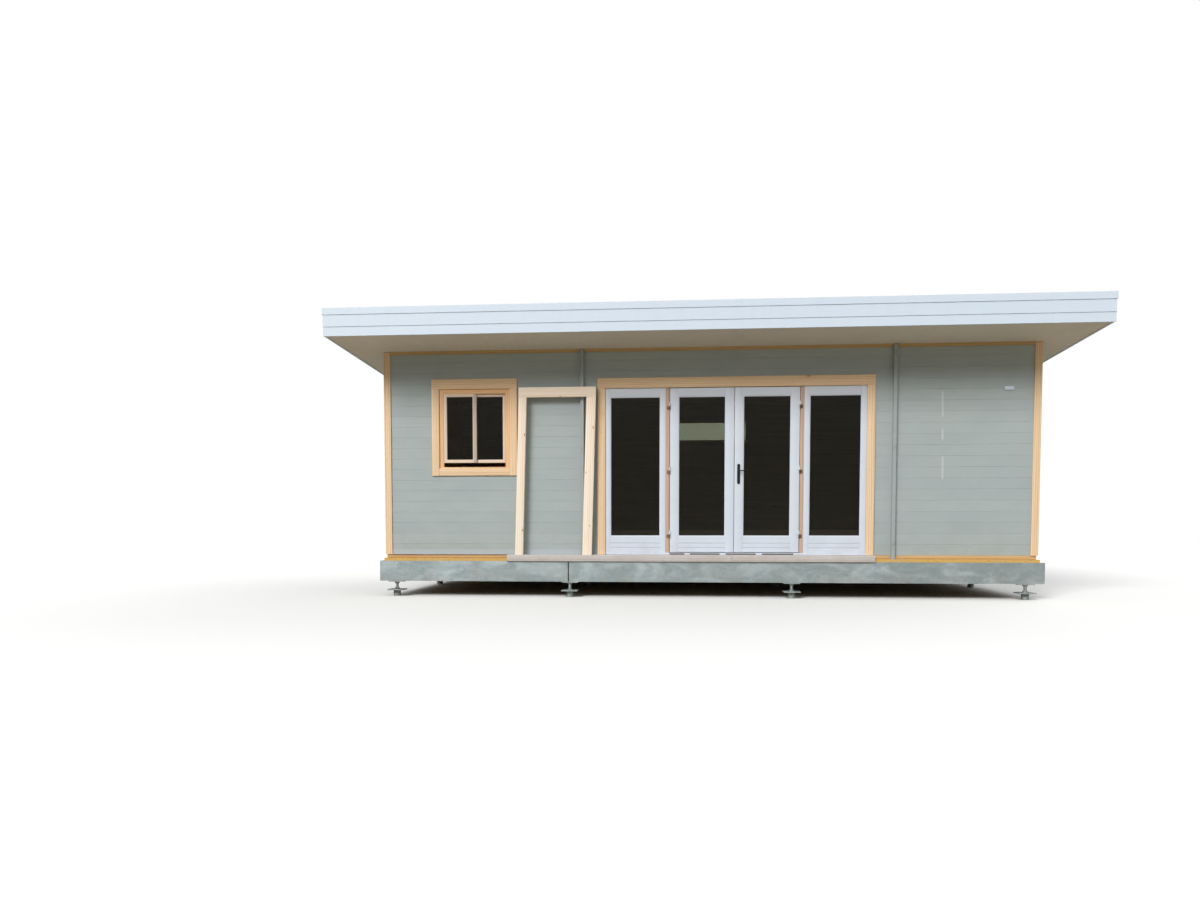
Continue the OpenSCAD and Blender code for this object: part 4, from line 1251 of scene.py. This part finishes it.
@dataclass
class Trims:
    """Trim boards round the openings and at the corners, the ledge and the sole plates."""

    thick: float = 0.020
    width: float = 0.095
    head: float = 0.125
    corner_w: float = 0.070
    corner_t: float = 0.016
    ledge_left: float = -2.4265
    ledge_right: float = 2.079
    ledge_joint: float = 0.36
    ledge_front: float = -0.144
    ledge_step: float = -0.120
    sole_t: float = 0.044
    side_nails: tuple = (((-1.2515, 2.0315), (0.62, 2.52, 5)),
                         ((-3.3535, -2.3585), (1.57, 2.56, 3)))
    head_nails: tuple = ((2.6495, (-1.22, 2.0, 8)), (2.6625, (-3.35, -2.36, 3)))
    deck_nails: tuple = (-0.132, -0.085, -0.035)
    deck_count: int = 12
    deck_inset: float = 0.08

    def surround(self, shell: Shell, hole: Hole, face: float, out: int, with_foot: bool) -> None:
        """Trim boards round an opening.

        Args:
            shell: Shell that takes the boards.
            hole: The opening, whose low is the foot of the side boards.
            face: Face of the wall along Y.
            out: Direction out of the wall along Y.
            with_foot: Whether a board closes the foot.
        """
        left, right, foot, head = hole
        near, far = sorted((face, face + out * self.thick))
        side_foot = foot - self.width if with_foot else foot
        for x in (left - self.width, right):
            shell.board((x, near, side_foot), (x + self.width, far, head - SITE.seat), Along.Z)
        shell.board((left - self.width, near, head),
                    (right + self.width, far, head + self.head), Along.X)
        if with_foot:
            shell.board((left + SITE.seat, near, foot - self.width),
                        (right - SITE.seat, far, foot), Along.X)

    def build(self) -> None:
        """Makes the trims."""
        doorway = Hole(-1.204, 1.984, SITE.sole_top, SITE.doorway_top)
        for seed, name, hole, with_foot in ((31, "door_trim", doorway, False),
                                            (32, "window_trim", WINDOW, True)):
            shell = Shell(seed)
            self.surround(shell, hole, SITE.wall_y, -1, with_foot)
            shell.finish(f"{name}_boards", Slot.PINE, Coat.PINE, nodes=(name,))
        self._corners()
        self._ledge()
        self._soles()
        self._nails()

    def _corners(self) -> None:
        """Two boards at each corner of the walls."""
        shell, half = Shell(33), SITE.half_len
        for sign in (-1, 1):
            for back, out in ((0.0, -1), (SITE.depth, 1)):
                edge = self.corner_w if out < 0 else SITE.depth + self.corner_t
                top = SITE.roof_under(edge) - SITE.seat
                rear = SITE.wall_y + back
                outer, inner = rear + out * self.corner_t, rear - out * self.corner_w
                for x0, x1, y0, y1 in ((half, half + self.corner_t, outer, inner),
                                       (half - self.corner_w, half, outer, rear)):
                    xs, ys = sorted((sign * x0, sign * x1)), sorted((y0, y1))
                    shell.board((xs[0], ys[0], SITE.sole_top), (xs[1], ys[1], top), Along.Z, 0.002)
        shell.finish("corner_trim_boards", Slot.PINE, Coat.PINE, nodes=("corner_trims",))

    def _ledge(self) -> None:
        """Deck board and front lip of the ledge, each in two lengths."""
        shell, wall, joint, gap = Shell(34), SITE.wall_y, self.ledge_joint, 0.001
        for left, right in ((self.ledge_left, joint - gap), (joint + gap, self.ledge_right)):
            for near, far, foot in ((self.ledge_step, 0.0, SITE.floor_top),
                                    (self.ledge_front, self.ledge_step, SITE.base_top)):
                shell.board((left, wall + near, foot), (right, wall + far, SITE.sole_top),
                            Along.X)
        shell.finish("ledge_boards", Slot.LEDGE, Coat.LEDGE, nodes=("front_ledge",))

    def _soles(self) -> None:
        """Sole plates under the four walls."""
        shell, thick, half, wall = Shell(35), self.sole_t, SITE.half_len, SITE.wall_y
        low, high, inset = SITE.floor_top, SITE.sole_top, self.sole_t + SITE.seat
        for near in (0.0, SITE.depth - thick):
            shell.board((-half, wall + near, low), (half, wall + near + thick, high), Along.X)
        for x in (-half, half - thick):
            shell.board((x, wall + inset, low), (x + thick, wall + SITE.depth - inset, high),
                        Along.Y)
        shell.finish("sole_plate_boards", Slot.STRUCTURE, Coat.STRUCTURE, nodes=("sole_plates",))

    def _nails(self) -> None:
        """Countersunk heads in the trims and the ledge."""
        stamp = stamped(36, ([-0.002, 0.0002, 0.0005], [0.0045, 0.0045, 0.0025], 10))
        front = SITE.wall_y - self.thick
        trims = [(x, front, z) for xs, rise in self.side_nails for x in xs
                 for z in np.linspace(*rise)]
        trims += [(x, front, z) for z, run in self.head_nails for x in np.linspace(*run)]
        ends = self.ledge_left + self.deck_inset, self.ledge_right - self.deck_inset
        deck = [(x, SITE.wall_y + y, SITE.sole_top)
                for x in np.linspace(*ends, self.deck_count) for y in self.deck_nails]
        shell = Shell(37).scatter(stamp, trims, OUT_OF_WALL).scatter(stamp, deck)
        shell.finish("trim_screws", Slot.HINGE, Coat.ZINC)


@dataclass
class GlazedPanel:
    """A glazed leaf or sidelight: stiles, rails, beads and gaskets."""

    left: float
    width: float
    stile: float
    foot: float
    head: float
    thick: float = 0.044
    glass_t: float = 0.008
    ease: float = 0.002
    grooves: tuple = (0.108, 0.053)
    groove_h: float = 0.008
    groove_dep: float = 0.003

    @property
    def pane(self) -> Hole:
        """The opening between the stiles and the rails."""
        right = self.left + self.width - self.stile
        return Hole(self.left + self.stile, right, SITE.glass_low, SITE.glass_high)

    def frame_shell(self, seed: int) -> Shell:
        """Stiles, top rail and grooved bottom rail.

        Args:
            seed: Seed of the grain's draws.

        Returns:
            The shell.
        """
        shell, (start, end, _, high) = Shell(seed), self.pane
        near, far = SITE.wall_y, SITE.wall_y + self.thick
        for x in (self.left, end):
            shell.board((x, near, self.foot), (x + self.stile, far, self.head), Along.Z,
                        self.ease)
        shell.board((start, near, high), (end, far, self.head), Along.X, self.ease)
        outline, marks = self._grooved()
        shell.sweep(outline, np.array([[start, near, 0], [end, near, 0]]), Y_AXIS, Z_AXIS, marks)
        return shell

    def _grooved(self) -> tuple[Array, Array]:
        """Outline of the bottom rail, with two grooves on each face.

        Returns:
            Points of depth and height, anticlockwise, and the mark of the edge
            after each point, which is 1 in a groove.
        """
        ease, dep, thick = self.ease, self.groove_dep, self.thick
        outer = [(0.0, SITE.glass_low - ease)]
        for groove in self.grooves:
            low = SITE.rail_foot + groove
            high = low + self.groove_h
            outer += [(0.0, high), (dep, high - dep * 0.7), (dep, low + dep * 0.7), (0.0, low)]
        down = np.array(outer + [(0.0, self.foot + ease), (ease, self.foot)])
        up = np.stack([thick - down[::-1, 0], down[::-1, 1]], axis=1)
        top = np.array([(thick - ease, SITE.glass_low), (ease, SITE.glass_low)])
        # Mark 1 takes the groove paint, darkened as painted shade.
        marks = np.array([0] + [1, 1, 1, 0] * 2 + [0, 0])
        return np.vstack([down, up, top]), np.concatenate([marks, marks[-2::-1], [0, 0, 0]])

    def trim_shell(self, seed: int) -> Shell:
        """Glazing beads, mark 0, and gaskets, mark 1, on both faces of the glass.

        Args:
            seed: Seed of the grain's draws.

        Returns:
            The shell.
        """
        shell, middle = Shell(seed), SITE.wall_y + self.thick / 2
        gasket = np.array([(0, 0), (0.0150, 0), (0.0145, 0.002), (0, 0.002)])
        bead = np.array([(0, 0.002), (0.0125, 0.002), (0.0125, 0.005), (0.0105, 0.0095),
                         (0.0065, 0.0125), (0.0020, 0.0135), (0, 0.0135)])
        for out in (-1.0, 1.0):
            face = middle + out * self.glass_t / 2
            for mark, outline in enumerate((bead, gasket)):
                shell.loop(self.pane, 0.0, face, outline, out * Y_AXIS, mark)
        return shell


@dataclass
class Doors:
    """French door set: lining, sidelights, two leaves, their hinges and the handle."""

    lining_d: float = 0.064
    lining_h: float = 0.030
    posts: tuple = ((-1.228, -1.204), (-0.454, -0.406), (1.186, 1.234), (1.984, 2.008))
    shade_strip_ends: tuple = (-0.400, 1.180)
    packers: tuple = (-0.182, 0.254, 0.697, 1.154)
    packer_half: float = 0.036
    packer_y: tuple = (-0.0105, -0.0037)
    packer_top: float = 0.5495
    side_w: float = 0.750
    side_stile: float = 0.062
    leaf_w: float = 0.787
    leaf_stile: float = 0.102
    leaf_gap: float = 0.006
    hinge_out: float = 0.010
    knuckle_r: float = 0.008
    knuckle_len: float = 0.045
    flap_t: float = 0.0025
    flap_reach: tuple = (0.003, 0.035)
    web_reach: tuple = (0.0005, 0.0055)
    web_y: float = 0.0055
    screw_rises: tuple = (0.011, 0.034)
    screw_off: float = 0.022
    hinge_feet: tuple = (0.733, 1.5245, 2.316)
    handle_x: float = 0.444
    plate_z: float = 1.521
    lever_z: float = 1.561
    key_drop: float = 0.075
    lever_bend: float = 0.016
    lever_r: float = 0.0085

    def build(self) -> None:
        """Makes the door set."""
        self._lining()
        self._threshold()
        self._sidelights()
        self._leaves()
        self._handle()

    def _lining(self) -> None:
        """Jambs, mullions and head of bare timber, and a white sill."""
        shell, ease = Shell(41), 0.002
        near, far = SITE.wall_y, SITE.wall_y + self.lining_d
        for left, right in self.posts:
            shell.board((left, near, SITE.sill_top + SITE.seat),
                        (right, far, SITE.doorway_top - SITE.seat), Along.Z, ease)
        for mark, low, high in ((0, SITE.doorway_top, SITE.doorway_top + self.lining_h),
                                (1, SITE.sole_top, SITE.sill_top)):
            shell.board((DOORS.start, near, low), (DOORS.end, far, high), Along.X, ease, mark)
        shell.finish("door_lining_boards", Slot.LINING, Coat.LINING, Coat.WHITE,
                     nodes=("door_lining",))

    def _threshold(self) -> None:
        """Grey strip across the sill's face that paints the shade in the gap under the leaves, and
        the packers left under the leaves.

        The strip's outline bulges between two lips, and runs the doorway's width.
        """
        # Painted shade: the strip stands where the gap under the leaves lies in shade.
        shade_strip = Shell(48)
        outline = np.array([(0.0, 0.5270), (0.0, 0.5445), (-0.0010, 0.5445), (-0.0028, 0.5415),
                            (-0.0034, 0.5360), (-0.0028, 0.5300), (-0.0010, 0.5270)])
        shade_strip.sweep(outline, [[x, SITE.wall_y, 0.0] for x in self.shade_strip_ends], Y_AXIS, Z_AXIS)
        shade_strip.finish("threshold_shade_strip", Slot.BLACK, Coat.SHADE_STRIP)
        packers = Shell(49)
        for middle in self.packers:
            near, far = (SITE.wall_y + y for y in self.packer_y)
            packers.board((middle - self.packer_half, near, SITE.sole_top + SITE.seat),
                          (middle + self.packer_half, far, self.packer_top), Along.X, 0.001)
        packers.finish("leaf_packers", Slot.DOOR_WHITE, Coat.WHITE)

    def _sidelights(self) -> None:
        """The two fixed sidelights."""
        frames, trims, here = Shell(42), Shell(43), [ORIGIN]
        for number, left in enumerate((self.posts[0][1], self.posts[2][1])):
            panel = GlazedPanel(left, self.side_w, self.side_stile, SITE.sill_top + SITE.seat,
                                SITE.doorway_top - SITE.seat)
            frames.scatter(panel.frame_shell(44 + number), here)
            trims.scatter(panel.trim_shell(46 + number), here)
        frames.finish("sidelight_frame_boards", Slot.DOOR_WHITE, Coat.WHITE, Coat.GROOVE_SHADE,
                      nodes=("sidelight_frames",))
        trims.finish("sidelight_beads", Slot.DOOR_WHITE, Coat.WHITE, Coat.RUBBER)

    def _leaves(self) -> None:
        """The two leaves with the moving halves of their hinges."""
        plan = (("left", -0.400, Body.LEFT_LEAF, -0.403, 1),
                ("right", 0.393, Body.RIGHT_LEAF, 1.183, -1))
        for number, (word, left, body, pin_x, way) in enumerate(plan):
            panel = GlazedPanel(left, self.leaf_w, self.leaf_stile, SITE.rail_foot,
                                SITE.doorway_top - self.leaf_gap)
            panel.frame_shell(50 + number).finish(
                f"{word}_leaf_frame", Slot.DOOR_WHITE, Coat.WHITE, Coat.GROOVE_SHADE,
                nodes=(f"{word}_door",), body=body)
            panel.trim_shell(52 + number).finish(
                f"{word}_leaf_beads", Slot.DOOR_WHITE, Coat.WHITE, Coat.RUBBER, body=body)
            self._hinge_halves(54 + number, pin_x, way).finish(
                f"{word}_leaf_hinges", Slot.DOOR_WHITE, Coat.WHITE, body=body)

    def _hinge_halves(self, seed: int, pin_x: float, way: int) -> Shell:
        """Moving knuckles with their flaps and screws.

        Args:
            seed: Seed of the grain's draws.
            pin_x: Place of the hinge axis.
            way: Direction from the axis onto the leaf along X.

        Returns:
            The shell.
        """
        shell, length, radius, ease = Shell(seed), self.knuckle_len, self.knuckle_r, 0.0008
        wall, pin_y, near = SITE.wall_y, SITE.wall_y - self.hinge_out, SITE.wall_y - self.flap_t
        for foot in self.hinge_feet:
            low = foot + length + SITE.seat
            shell.turned([0, ease, length - ease, length],
                         [radius - ease, radius, radius, radius - ease], 24,
                         np.array([pin_x, pin_y, low]))
            for reach, face, edge in ((self.flap_reach, near, ease),
                                      (self.web_reach, pin_y + self.web_y, 0.0006)):
                start, end = sorted(pin_x + way * off for off in reach)
                shell.board((start, face, low), (end, wall, low + length), Along.Z, edge)
            for rise in self.screw_rises:
                head = np.array([pin_x + way * self.screw_off, near, low + rise])
                shell.turned([-0.0005, 0.0006, 0.0009], [0.0042, 0.0042, 0.0024], 10, head,
                             -Y_AXIS)
        return shell

    def _handle(self) -> None:
        """Back plate, lever and key cylinder on both faces of the right leaf.

        The lever's centre line goes out of the plate and bends along X in a
        quarter circle, and its outline narrows towards the tip.
        """
        shell, plate = Shell(60), rounded(0.036, 0.250, 0.017, 6)
        bend, sweep = np.linspace(0.0, math.pi / 2, 9)[1:], self.lever_bend
        out_by = np.concatenate([[0.010, 0.030], 0.0315 + sweep * np.sin(bend),
                                 [0.0475, 0.0475, 0.0470, 0.0455]])
        along = np.concatenate([[0.0, 0.0], sweep * (1 - np.cos(bend)),
                                [0.050, 0.085, 0.106, 0.112]])
        share = np.linspace(1.0, 0.78, len(along))
        share[-1] = 0.35
        lever = share[:, None, None] * circle(20) * self.lever_r
        for out, face in ((-1.0, SITE.wall_y), (1.0, SITE.wall_y + GlazedPanel.thick)):
            away = out * Y_AXIS
            centre = np.array([self.handle_x, face, self.plate_z])
            shell.sweep(np.stack([plate, plate, rounded(0.032, 0.246, 0.015, 6)]),
                        centre + np.outer([0.0, 0.0045, 0.006], away), X_AXIS, Z_AXIS)
            root = np.array([self.handle_x, face, self.lever_z])
            shell.turned([0.005, 0.010, 0.014], [0.0155, 0.0150, 0.0105], 24, root, away)
            path = root + out_by[:, None] * away + along[:, None] * X_AXIS
            lead = np.gradient(path, axis=0)
            lead /= np.linalg.norm(lead, axis=1)[:, None]
            shell.sweep(lever, path, np.cross(lead, Z_AXIS), Z_AXIS)
            shell.turned([0.005, 0.0085, 0.009], [0.0085, 0.0085, 0.0075], 24,
                         root - self.key_drop * Z_AXIS, away)
        shell.finish("lever_handle", Slot.BLACK, Coat.BLACK, nodes=("door_handle",),
                     body=Body.RIGHT_LEAF)


@dataclass
class Windows:
    """Front sliding window and rear window."""

    frame_w: float = 0.045
    frame_dep: float = 0.064
    frame_ease: float = 0.0025
    sill_t: float = 0.013
    sash_low: float = 1.669
    sash_high: float = 2.5547
    sash_len: float = 0.4297
    sash_w: float = 0.050
    sash_t: float = 0.022
    lip_w: float = 0.010
    foot_cut: float = 0.010
    glass_half: float = 0.0025
    # A stile's mark of 1 gives the front sash's meeting stile the sash pine darkened as painted
    # shade.
    sashes: tuple = ((-3.2607, 0.006, 1), (-2.8810, 0.030, 0))  # left end, depth, stile's mark

    def build(self) -> None:
        """Makes the two windows."""
        self._front_frame()
        self._sashes()
        self._rear_frame()

    def _front_frame(self) -> None:
        """Frame of the front window, with the stop bead in front of its sashes.

        The bead is a quarter-round outline carried up one side, across the head
        and down the other, mitred by moving inward along both axes at once.
        """
        shell, face, opening = Shell(71), SITE.wall_y, WINDOW.shrunk(SITE.seat)
        shell.ring(opening, face, face + self.frame_dep,
                   (self.frame_w, self.frame_w, self.sill_t), self.frame_ease)
        left, right = opening.start + self.frame_w, opening.end - self.frame_w
        low, high = opening.low + self.sill_t, opening.high - self.frame_w
        path = np.array([(left, face, low), (left, face, high), (right, face, high),
                         (right, face, low)])
        inward = np.array([(1, 0, 0), (1, 0, -1), (-1, 0, -1), (-1, 0, 0)], float)
        stop = np.array([(0.0, 0.0006), (0.0085, 0.0006), (0.0108, 0.0016), (0.0120, 0.0036),
                         (0.0120, 0.0056), (0.0, 0.0056)])
        shell.sweep(stop, path, inward, Y_AXIS)
        shell.finish("window_frame_boards", Slot.WINDOW, Coat.WINDOW, nodes=("window_frame",))

    def _sashes(self) -> None:
        """Two overlapping sashes, with a bevelled lip and a gasket round their glass."""
        shell, trims = Shell(72), Shell(73)
        thick, flat = self.sash_t, self.sash_w - self.lip_w
        lip = np.array([(0, 0), (0.0020, 0), (self.lip_w, 0.0065), (self.lip_w, thick - 0.0065),
                        (0.0020, thick), (0, thick)])
        gasket = np.array([(0, 0), (0.0035, 0), (0.0030, 0.0018), (0, 0.0018)])
        for left, back, mark in self.sashes:
            near = SITE.wall_y + back
            sash = Hole(left, left + self.sash_len, self.sash_low, self.sash_high)
            shell.ring(sash._replace(low=self.sash_low + self.foot_cut), near, near + thick,
                       (flat, flat, flat - self.foot_cut), self.frame_ease, mark)
            shell.loop(sash, flat, near, lip, Y_AXIS)
            for out in (-1.0, 1.0):
                trims.loop(sash, self.sash_w, near + thick / 2 + out * self.glass_half, gasket,
                           out * Y_AXIS)
        # The second coat is the sash pine darkened as painted shade, on the meeting stile.
        shell.finish("window_sash_boards", Slot.WINDOW, Coat.SASH, Coat.SHADED_STILE,
                     nodes=("window_sashes",))
        trims.finish("window_gaskets", Slot.BLACK, Coat.RUBBER)

    def _rear_frame(self) -> None:
        """Frame and outside trim of the rear window."""
        shell, face = Shell(74), SITE.wall_y + SITE.depth
        shell.ring(REAR_WINDOW.shrunk(SITE.seat), face - self.frame_dep, face,
                   (self.frame_w,) * 3, self.frame_ease)
        Trims().surround(shell, REAR_WINDOW, face + SITE.seat, 1, True)
        shell.finish("rear_window_boards", Slot.WINDOW, Coat.WINDOW,
                     nodes=("rear_window_frame",))


@dataclass
class StoredFrame:
    """New door frame that stands on the ledge, leaning a little to the right."""

    middle: float = -1.846
    width: float = 0.961
    height: float = 2.072
    lean: float = math.radians(1.6)
    left_w: float = 0.098
    right_w: float = 0.116
    head_h: float = 0.121
    near: float = -0.118
    far: float = -0.058

    def build(self) -> None:
        """Makes two leaning posts and a level head."""
        shell, foot = Shell(81), SITE.sole_top + SITE.seat
        post_h = self.height - self.head_h - SITE.seat
        shift = post_h * math.tan(self.lean)
        y = SITE.wall_y + (self.near + self.far) / 2
        left, right = self.middle - self.width / 2, self.middle + self.width / 2
        for start, width in ((left, self.left_w), (right - self.right_w, self.right_w)):
            x = start + width / 2
            shell.sweep(rounded(width, self.far - self.near, 0.003),
                        np.array([[x, y, foot], [x + shift, y, foot + post_h]]), X_AXIS, Y_AXIS)
        shell.board((left + shift, SITE.wall_y + self.near, foot + post_h + SITE.seat),
                    (left + shift + self.width, SITE.wall_y + self.far, foot + self.height),
                    Along.X)
        shell.finish("stored_frame_boards", Slot.STORED, Coat.STORED, nodes=("stored_frame",))


@dataclass
class Fixings:
    """Pier threads and nuts, tube bolts, gutter straps, cap rivets and the wall fitting."""

    pier_x: tuple = (-3.850, -1.640, 1.090, 3.850)
    pier_back: tuple = (-0.082, 2.000, 4.022)
    stem_r: float = 0.018
    stem_low: float = 0.0857
    stem_high: float = 0.1777
    thread_pitch: float = 0.006
    thread_deep: float = 0.0012
    nut_h: float = 0.018
    nut_r: float = 0.031
    nut_ease: float = 0.002
    joint_low: tuple = (-1.662, -0.1218, 0.194)
    joint_high: tuple = (-1.648, -0.1195, 0.440)
    bolt_heights: tuple = (0.66, 1.84, 2.96)
    tube_out: float = 0.050
    straps: tuple = (4.2785, 4.3825, 3.0695)  # near edge, far edge, top
    strap_row: tuple = (-4.2, 4.2, 10)
    rivet_y: float = -0.9055
    rivet_z: float = 3.366
    rivet_row: tuple = (-4.38, 4.38, 13)
    fitting_low: tuple = (3.588, -0.016, 2.505)
    fitting_high: tuple = (3.694, 0.0, 2.551)
    slots: tuple = (0.012, 0.023, 0.034)

    def build(self) -> None:
        """Makes the fixings."""
        self._threads()
        self._bearer_joint_shade()
        self._tube_bolts()
        self._gutter_straps()
        self._cap_rivets()
        self._wall_fitting()

    def _threads(self) -> None:
        """Threads and nuts of the piers.

        The thread's radius is the stem's plus a wave of the angle less the
        height's share of the pitch, so that its crest climbs as it goes round.
        """
        stamp, count, ease, wide = Shell(91), 20, self.nut_ease, self.nut_r
        heights = np.arange(self.stem_low, self.stem_high, self.thread_pitch / 5)
        turns = np.arange(count) * 2 * math.pi / count
        wave = np.cos(turns[None] - 2 * math.pi * heights[:, None] / self.thread_pitch)
        radii = self.stem_r + self.thread_deep * wave
        stamp.sweep(radii[..., None] * circle(count), np.outer(heights, Z_AXIS), X_AXIS, Y_AXIS)
        for low in (self.stem_low, self.stem_high - self.nut_h):
            rise = [low, low + ease, low + self.nut_h - ease, low + self.nut_h]
            stamp.turned(rise, [wide - ease, wide, wide, wide - ease], 6)
        places = [(x, SITE.wall_y + y, 0.0) for x in self.pier_x for y in self.pier_back]
        Shell(92).scatter(stamp, places).finish("pier_threads", Slot.GALVANISED, Coat.ZINC)

    def _bearer_joint_shade(self) -> None:
        """Dark strip over the joint between the front bearer's two lengths, painting the joint's
        shadow line.
        """
        shell, face = Shell(88), SITE.wall_y * Y_AXIS
        # Painted shadow: a dark strip where the joint's shadow line falls.
        shell.board(face + self.joint_low, face + self.joint_high, Along.Z, 0.0008)
        shell.finish("bearer_joint_shade_strip", Slot.BLACK, Coat.RUBBER)

    def _tube_bolts(self) -> None:
        """Bolts through the storm tubes into the wall."""
        stamp = stamped(93, ([0, 0.0015], [0.010, 0.010], 16),
                        ([0.0015, 0.0055, 0.0065], [0.0075, 0.0075, 0.006], 6))
        y = SITE.wall_y - self.tube_out
        places = [(x, y, z) for x in SITE.tubes for z in self.bolt_heights]
        Shell(94).scatter(stamp, places, OUT_OF_WALL).finish("tube_bolts", Slot.HINGE, Coat.ZINC)

    def _gutter_straps(self) -> None:
        """Straps across the top of the rear gutter."""
        shell, half, thick = Shell(95), 0.0125, 0.002
        near, far, top = self.straps
        for x in np.linspace(*self.strap_row):
            shell.board((x - half, SITE.wall_y + near, top - thick),
                        (x + half, SITE.wall_y + far, top), Along.Y, 0.0004)
        shell.finish("gutter_straps", Slot.WHITE_METAL, Coat.WHITE_METAL)

    def _cap_rivets(self) -> None:
        """Rivets along the front cap's face, near its foot."""
        stamp = stamped(96, ([-0.0005, 0.0006, 0.0012, 0.0015], [0.004, 0.004, 0.0028, 0.001],
                             10))
        y = SITE.wall_y + self.rivet_y
        places = [(x, y, self.rivet_z) for x in np.linspace(*self.rivet_row)]
        Shell(97).scatter(stamp, places, OUT_OF_WALL).finish(
            "cap_rivets", Slot.WHITE_METAL, Coat.WHITE_METAL)

    def _wall_fitting(self) -> None:
        """Small white cover with slots, high on the right of the front wall."""
        shell, inset, half = Shell(98), 0.016, 0.002
        face = SITE.wall_y * Y_AXIS
        low, high = face + self.fitting_low, face + self.fitting_high
        shell.board(low, high, Along.X, 0.005)
        for rise in self.slots:
            z = low[2] + rise
            shell.board((low[0] + inset, low[1] - 0.0015, z - half),
                        (high[0] - inset, low[1] + half, z + half), Along.X, 0.001)
        shell.finish("wall_fitting", Slot.WHITE_METAL, Coat.WHITE_METAL)


@dataclass
class Studio:
    """Floor, light and camera."""

    floor_half: float = 90.0
    floor_cells: int = 8
    floor_drop: float = 0.001
    fade: tuple = (9.0, 24.0)
    floor_bounce: Colour = (0.33, 0.29, 0.23, 1.0)
    floor_seen: Colour = tone(243, 242, 240)
    white: Colour = (1.0, 1.0, 1.0, 1.0)
    sky: float = 0.95
    sky_tint: Colour = (0.95, 0.98, 1.0, 1.0)
    horizon: float = 0.08
    zenith: float = 0.45
    sun: float = 2.35
    sun_tint: tuple = (1.0, 0.995, 0.985)
    lamps: tuple = (("key", 1.0, 27.0, (58.0, 0.0, -28.0)),
                    ("rim", 0.3, 50.0, (62.0, 0.0, 150.0)),
                    ("fill", 0.22, 70.0, (66.0, 0.0, 86.0)))  # name, share, spread, turn
    camera_place: tuple = (-0.2567, -13.2390, 0.9441)
    camera_turn: float = -5.0358
    camera_tip: float = 3.0108
    camera_roll: float = 0.0269
    camera_lens: float = 27.645
    camera_shift: float = 0.10

    def build(self) -> None:
        """Makes the studio."""
        self._floor()
        self._world()
        self._lamps()
        self._camera()
        bpy.context.scene.view_settings.view_transform = "Standard"

    @staticmethod
    def _seen(graph: Graph) -> NodeSocket:
        """One for a ray from the camera or through a clear pane."""
        rays = graph.node("LightPath").outputs
        return graph.math("MAXIMUM", rays["Is Camera Ray"], rays["Is Transmission Ray"])

    def _floor(self) -> None:
        """Flat grid of a floor, whose far part shows the backdrop's white."""
        count = self.floor_cells + 1
        steps = np.linspace(-self.floor_half, self.floor_half, count)
        x, y = np.meshgrid(steps, steps, indexing="ij")
        points = np.stack([x.ravel(), y.ravel(), np.full(x.size, -self.floor_drop)], axis=1)
        row, col = np.indices((self.floor_cells, self.floor_cells))
        corner = (row * count + col).ravel()
        faces = np.stack([corner, corner + count, corner + count + 1, corner + 1], axis=1)
        mesh = bpy.data.meshes.new("studio_floor")
        mesh.from_pydata(points.tolist(), [], faces.tolist())
        material = bpy.data.materials.new("studio floor")
        graph = Graph.blank(material)
        near = graph.node("VectorMath", {0: graph.place()}, operation="LENGTH").outputs[1]
        rays = graph.node("LightPath").outputs
        matt = graph.value("BsdfDiffuse", {"Color": graph.blend(
            rays["Is Camera Ray"], self.floor_bounce, self.floor_seen)})
        white = graph.value("Emission", {"Color": self.white, "Strength": 1.0})
        share = graph.times(graph.spread(near, *self.fade), self._seen(graph))
        graph.node("OutputMaterial", {0: graph.value("MixShader", {0: share, 1: matt, 2: white})})
        mesh.materials.append(material)
        floor = bpy.data.objects.new("studio_floor", mesh)
        bpy.context.scene.collection.objects.link(floor)

    def _world(self) -> None:
        """Sky light, dim near the horizon and overhead, white to the camera and clear panes."""
        world = bpy.data.worlds.new("studio sky")
        bpy.context.scene.world = world
        graph = Graph.blank(world)
        height = graph.part(graph.node("TexCoord").outputs["Generated"], 2)
        strength = graph.times(
            graph.spread(height, 0.05, 0.55, self.sky * self.horizon, self.sky),
            graph.spread(height, 0.55, 1.0, 1.0, self.zenith))
        light = graph.value("Background", {"Color": self.sky_tint, "Strength": strength})
        white = graph.value("Background", {"Color": self.white, "Strength": 1.0})
        mixed = graph.value("MixShader", {0: self._seen(graph), 1: light, 2: white})
        graph.node("OutputWorld", {0: mixed})

    def _lamps(self) -> None:
        """One soft sun from the front left, a weak one behind and a weak fill on the right."""
        for name, share, angle, turn in self.lamps:
            lamp = bpy.data.lights.new(name, "SUN")
            lamp.energy = self.sun * share
            lamp.angle = math.radians(angle)
            lamp.color = self.sun_tint
            holder = bpy.data.objects.new(name, lamp)
            holder.rotation_euler = [math.radians(part) for part in turn]
            bpy.context.scene.collection.objects.link(holder)

    def _camera(self) -> None:
        """Camera at the photograph's viewing angle."""
        camera = bpy.data.cameras.new("camera")
        camera.sensor_width = 36.0
        camera.lens = self.camera_lens
        camera.shift_y = self.camera_shift
        camera.dof.use_dof = False
        camera.clip_end = 500.0
        holder = bpy.data.objects.new("camera", camera)
        turn = (Matrix.Rotation(math.radians(-self.camera_turn), 4, "Z")
                @ Matrix.Rotation(math.radians(90.0 - self.camera_tip), 4, "X")
                @ Matrix.Rotation(math.radians(-self.camera_roll), 4, "Z"))
        holder.matrix_world = Matrix.Translation(Vector(self.camera_place)) @ turn
        bpy.context.scene.collection.objects.link(holder)
        bpy.context.scene.camera = holder


def main() -> None:
    """Builds the studio and the pod's sub-assemblies in order."""
    logging.basicConfig(level=logging.INFO, format="%(name)s: %(message)s")
    Studio().build()
    dress()
    for part in (BoardedWalls, Roof, Trims, Doors, Windows, StoredFrame, Fixings):
        part().build()


if __name__ == "__main__":
    main()
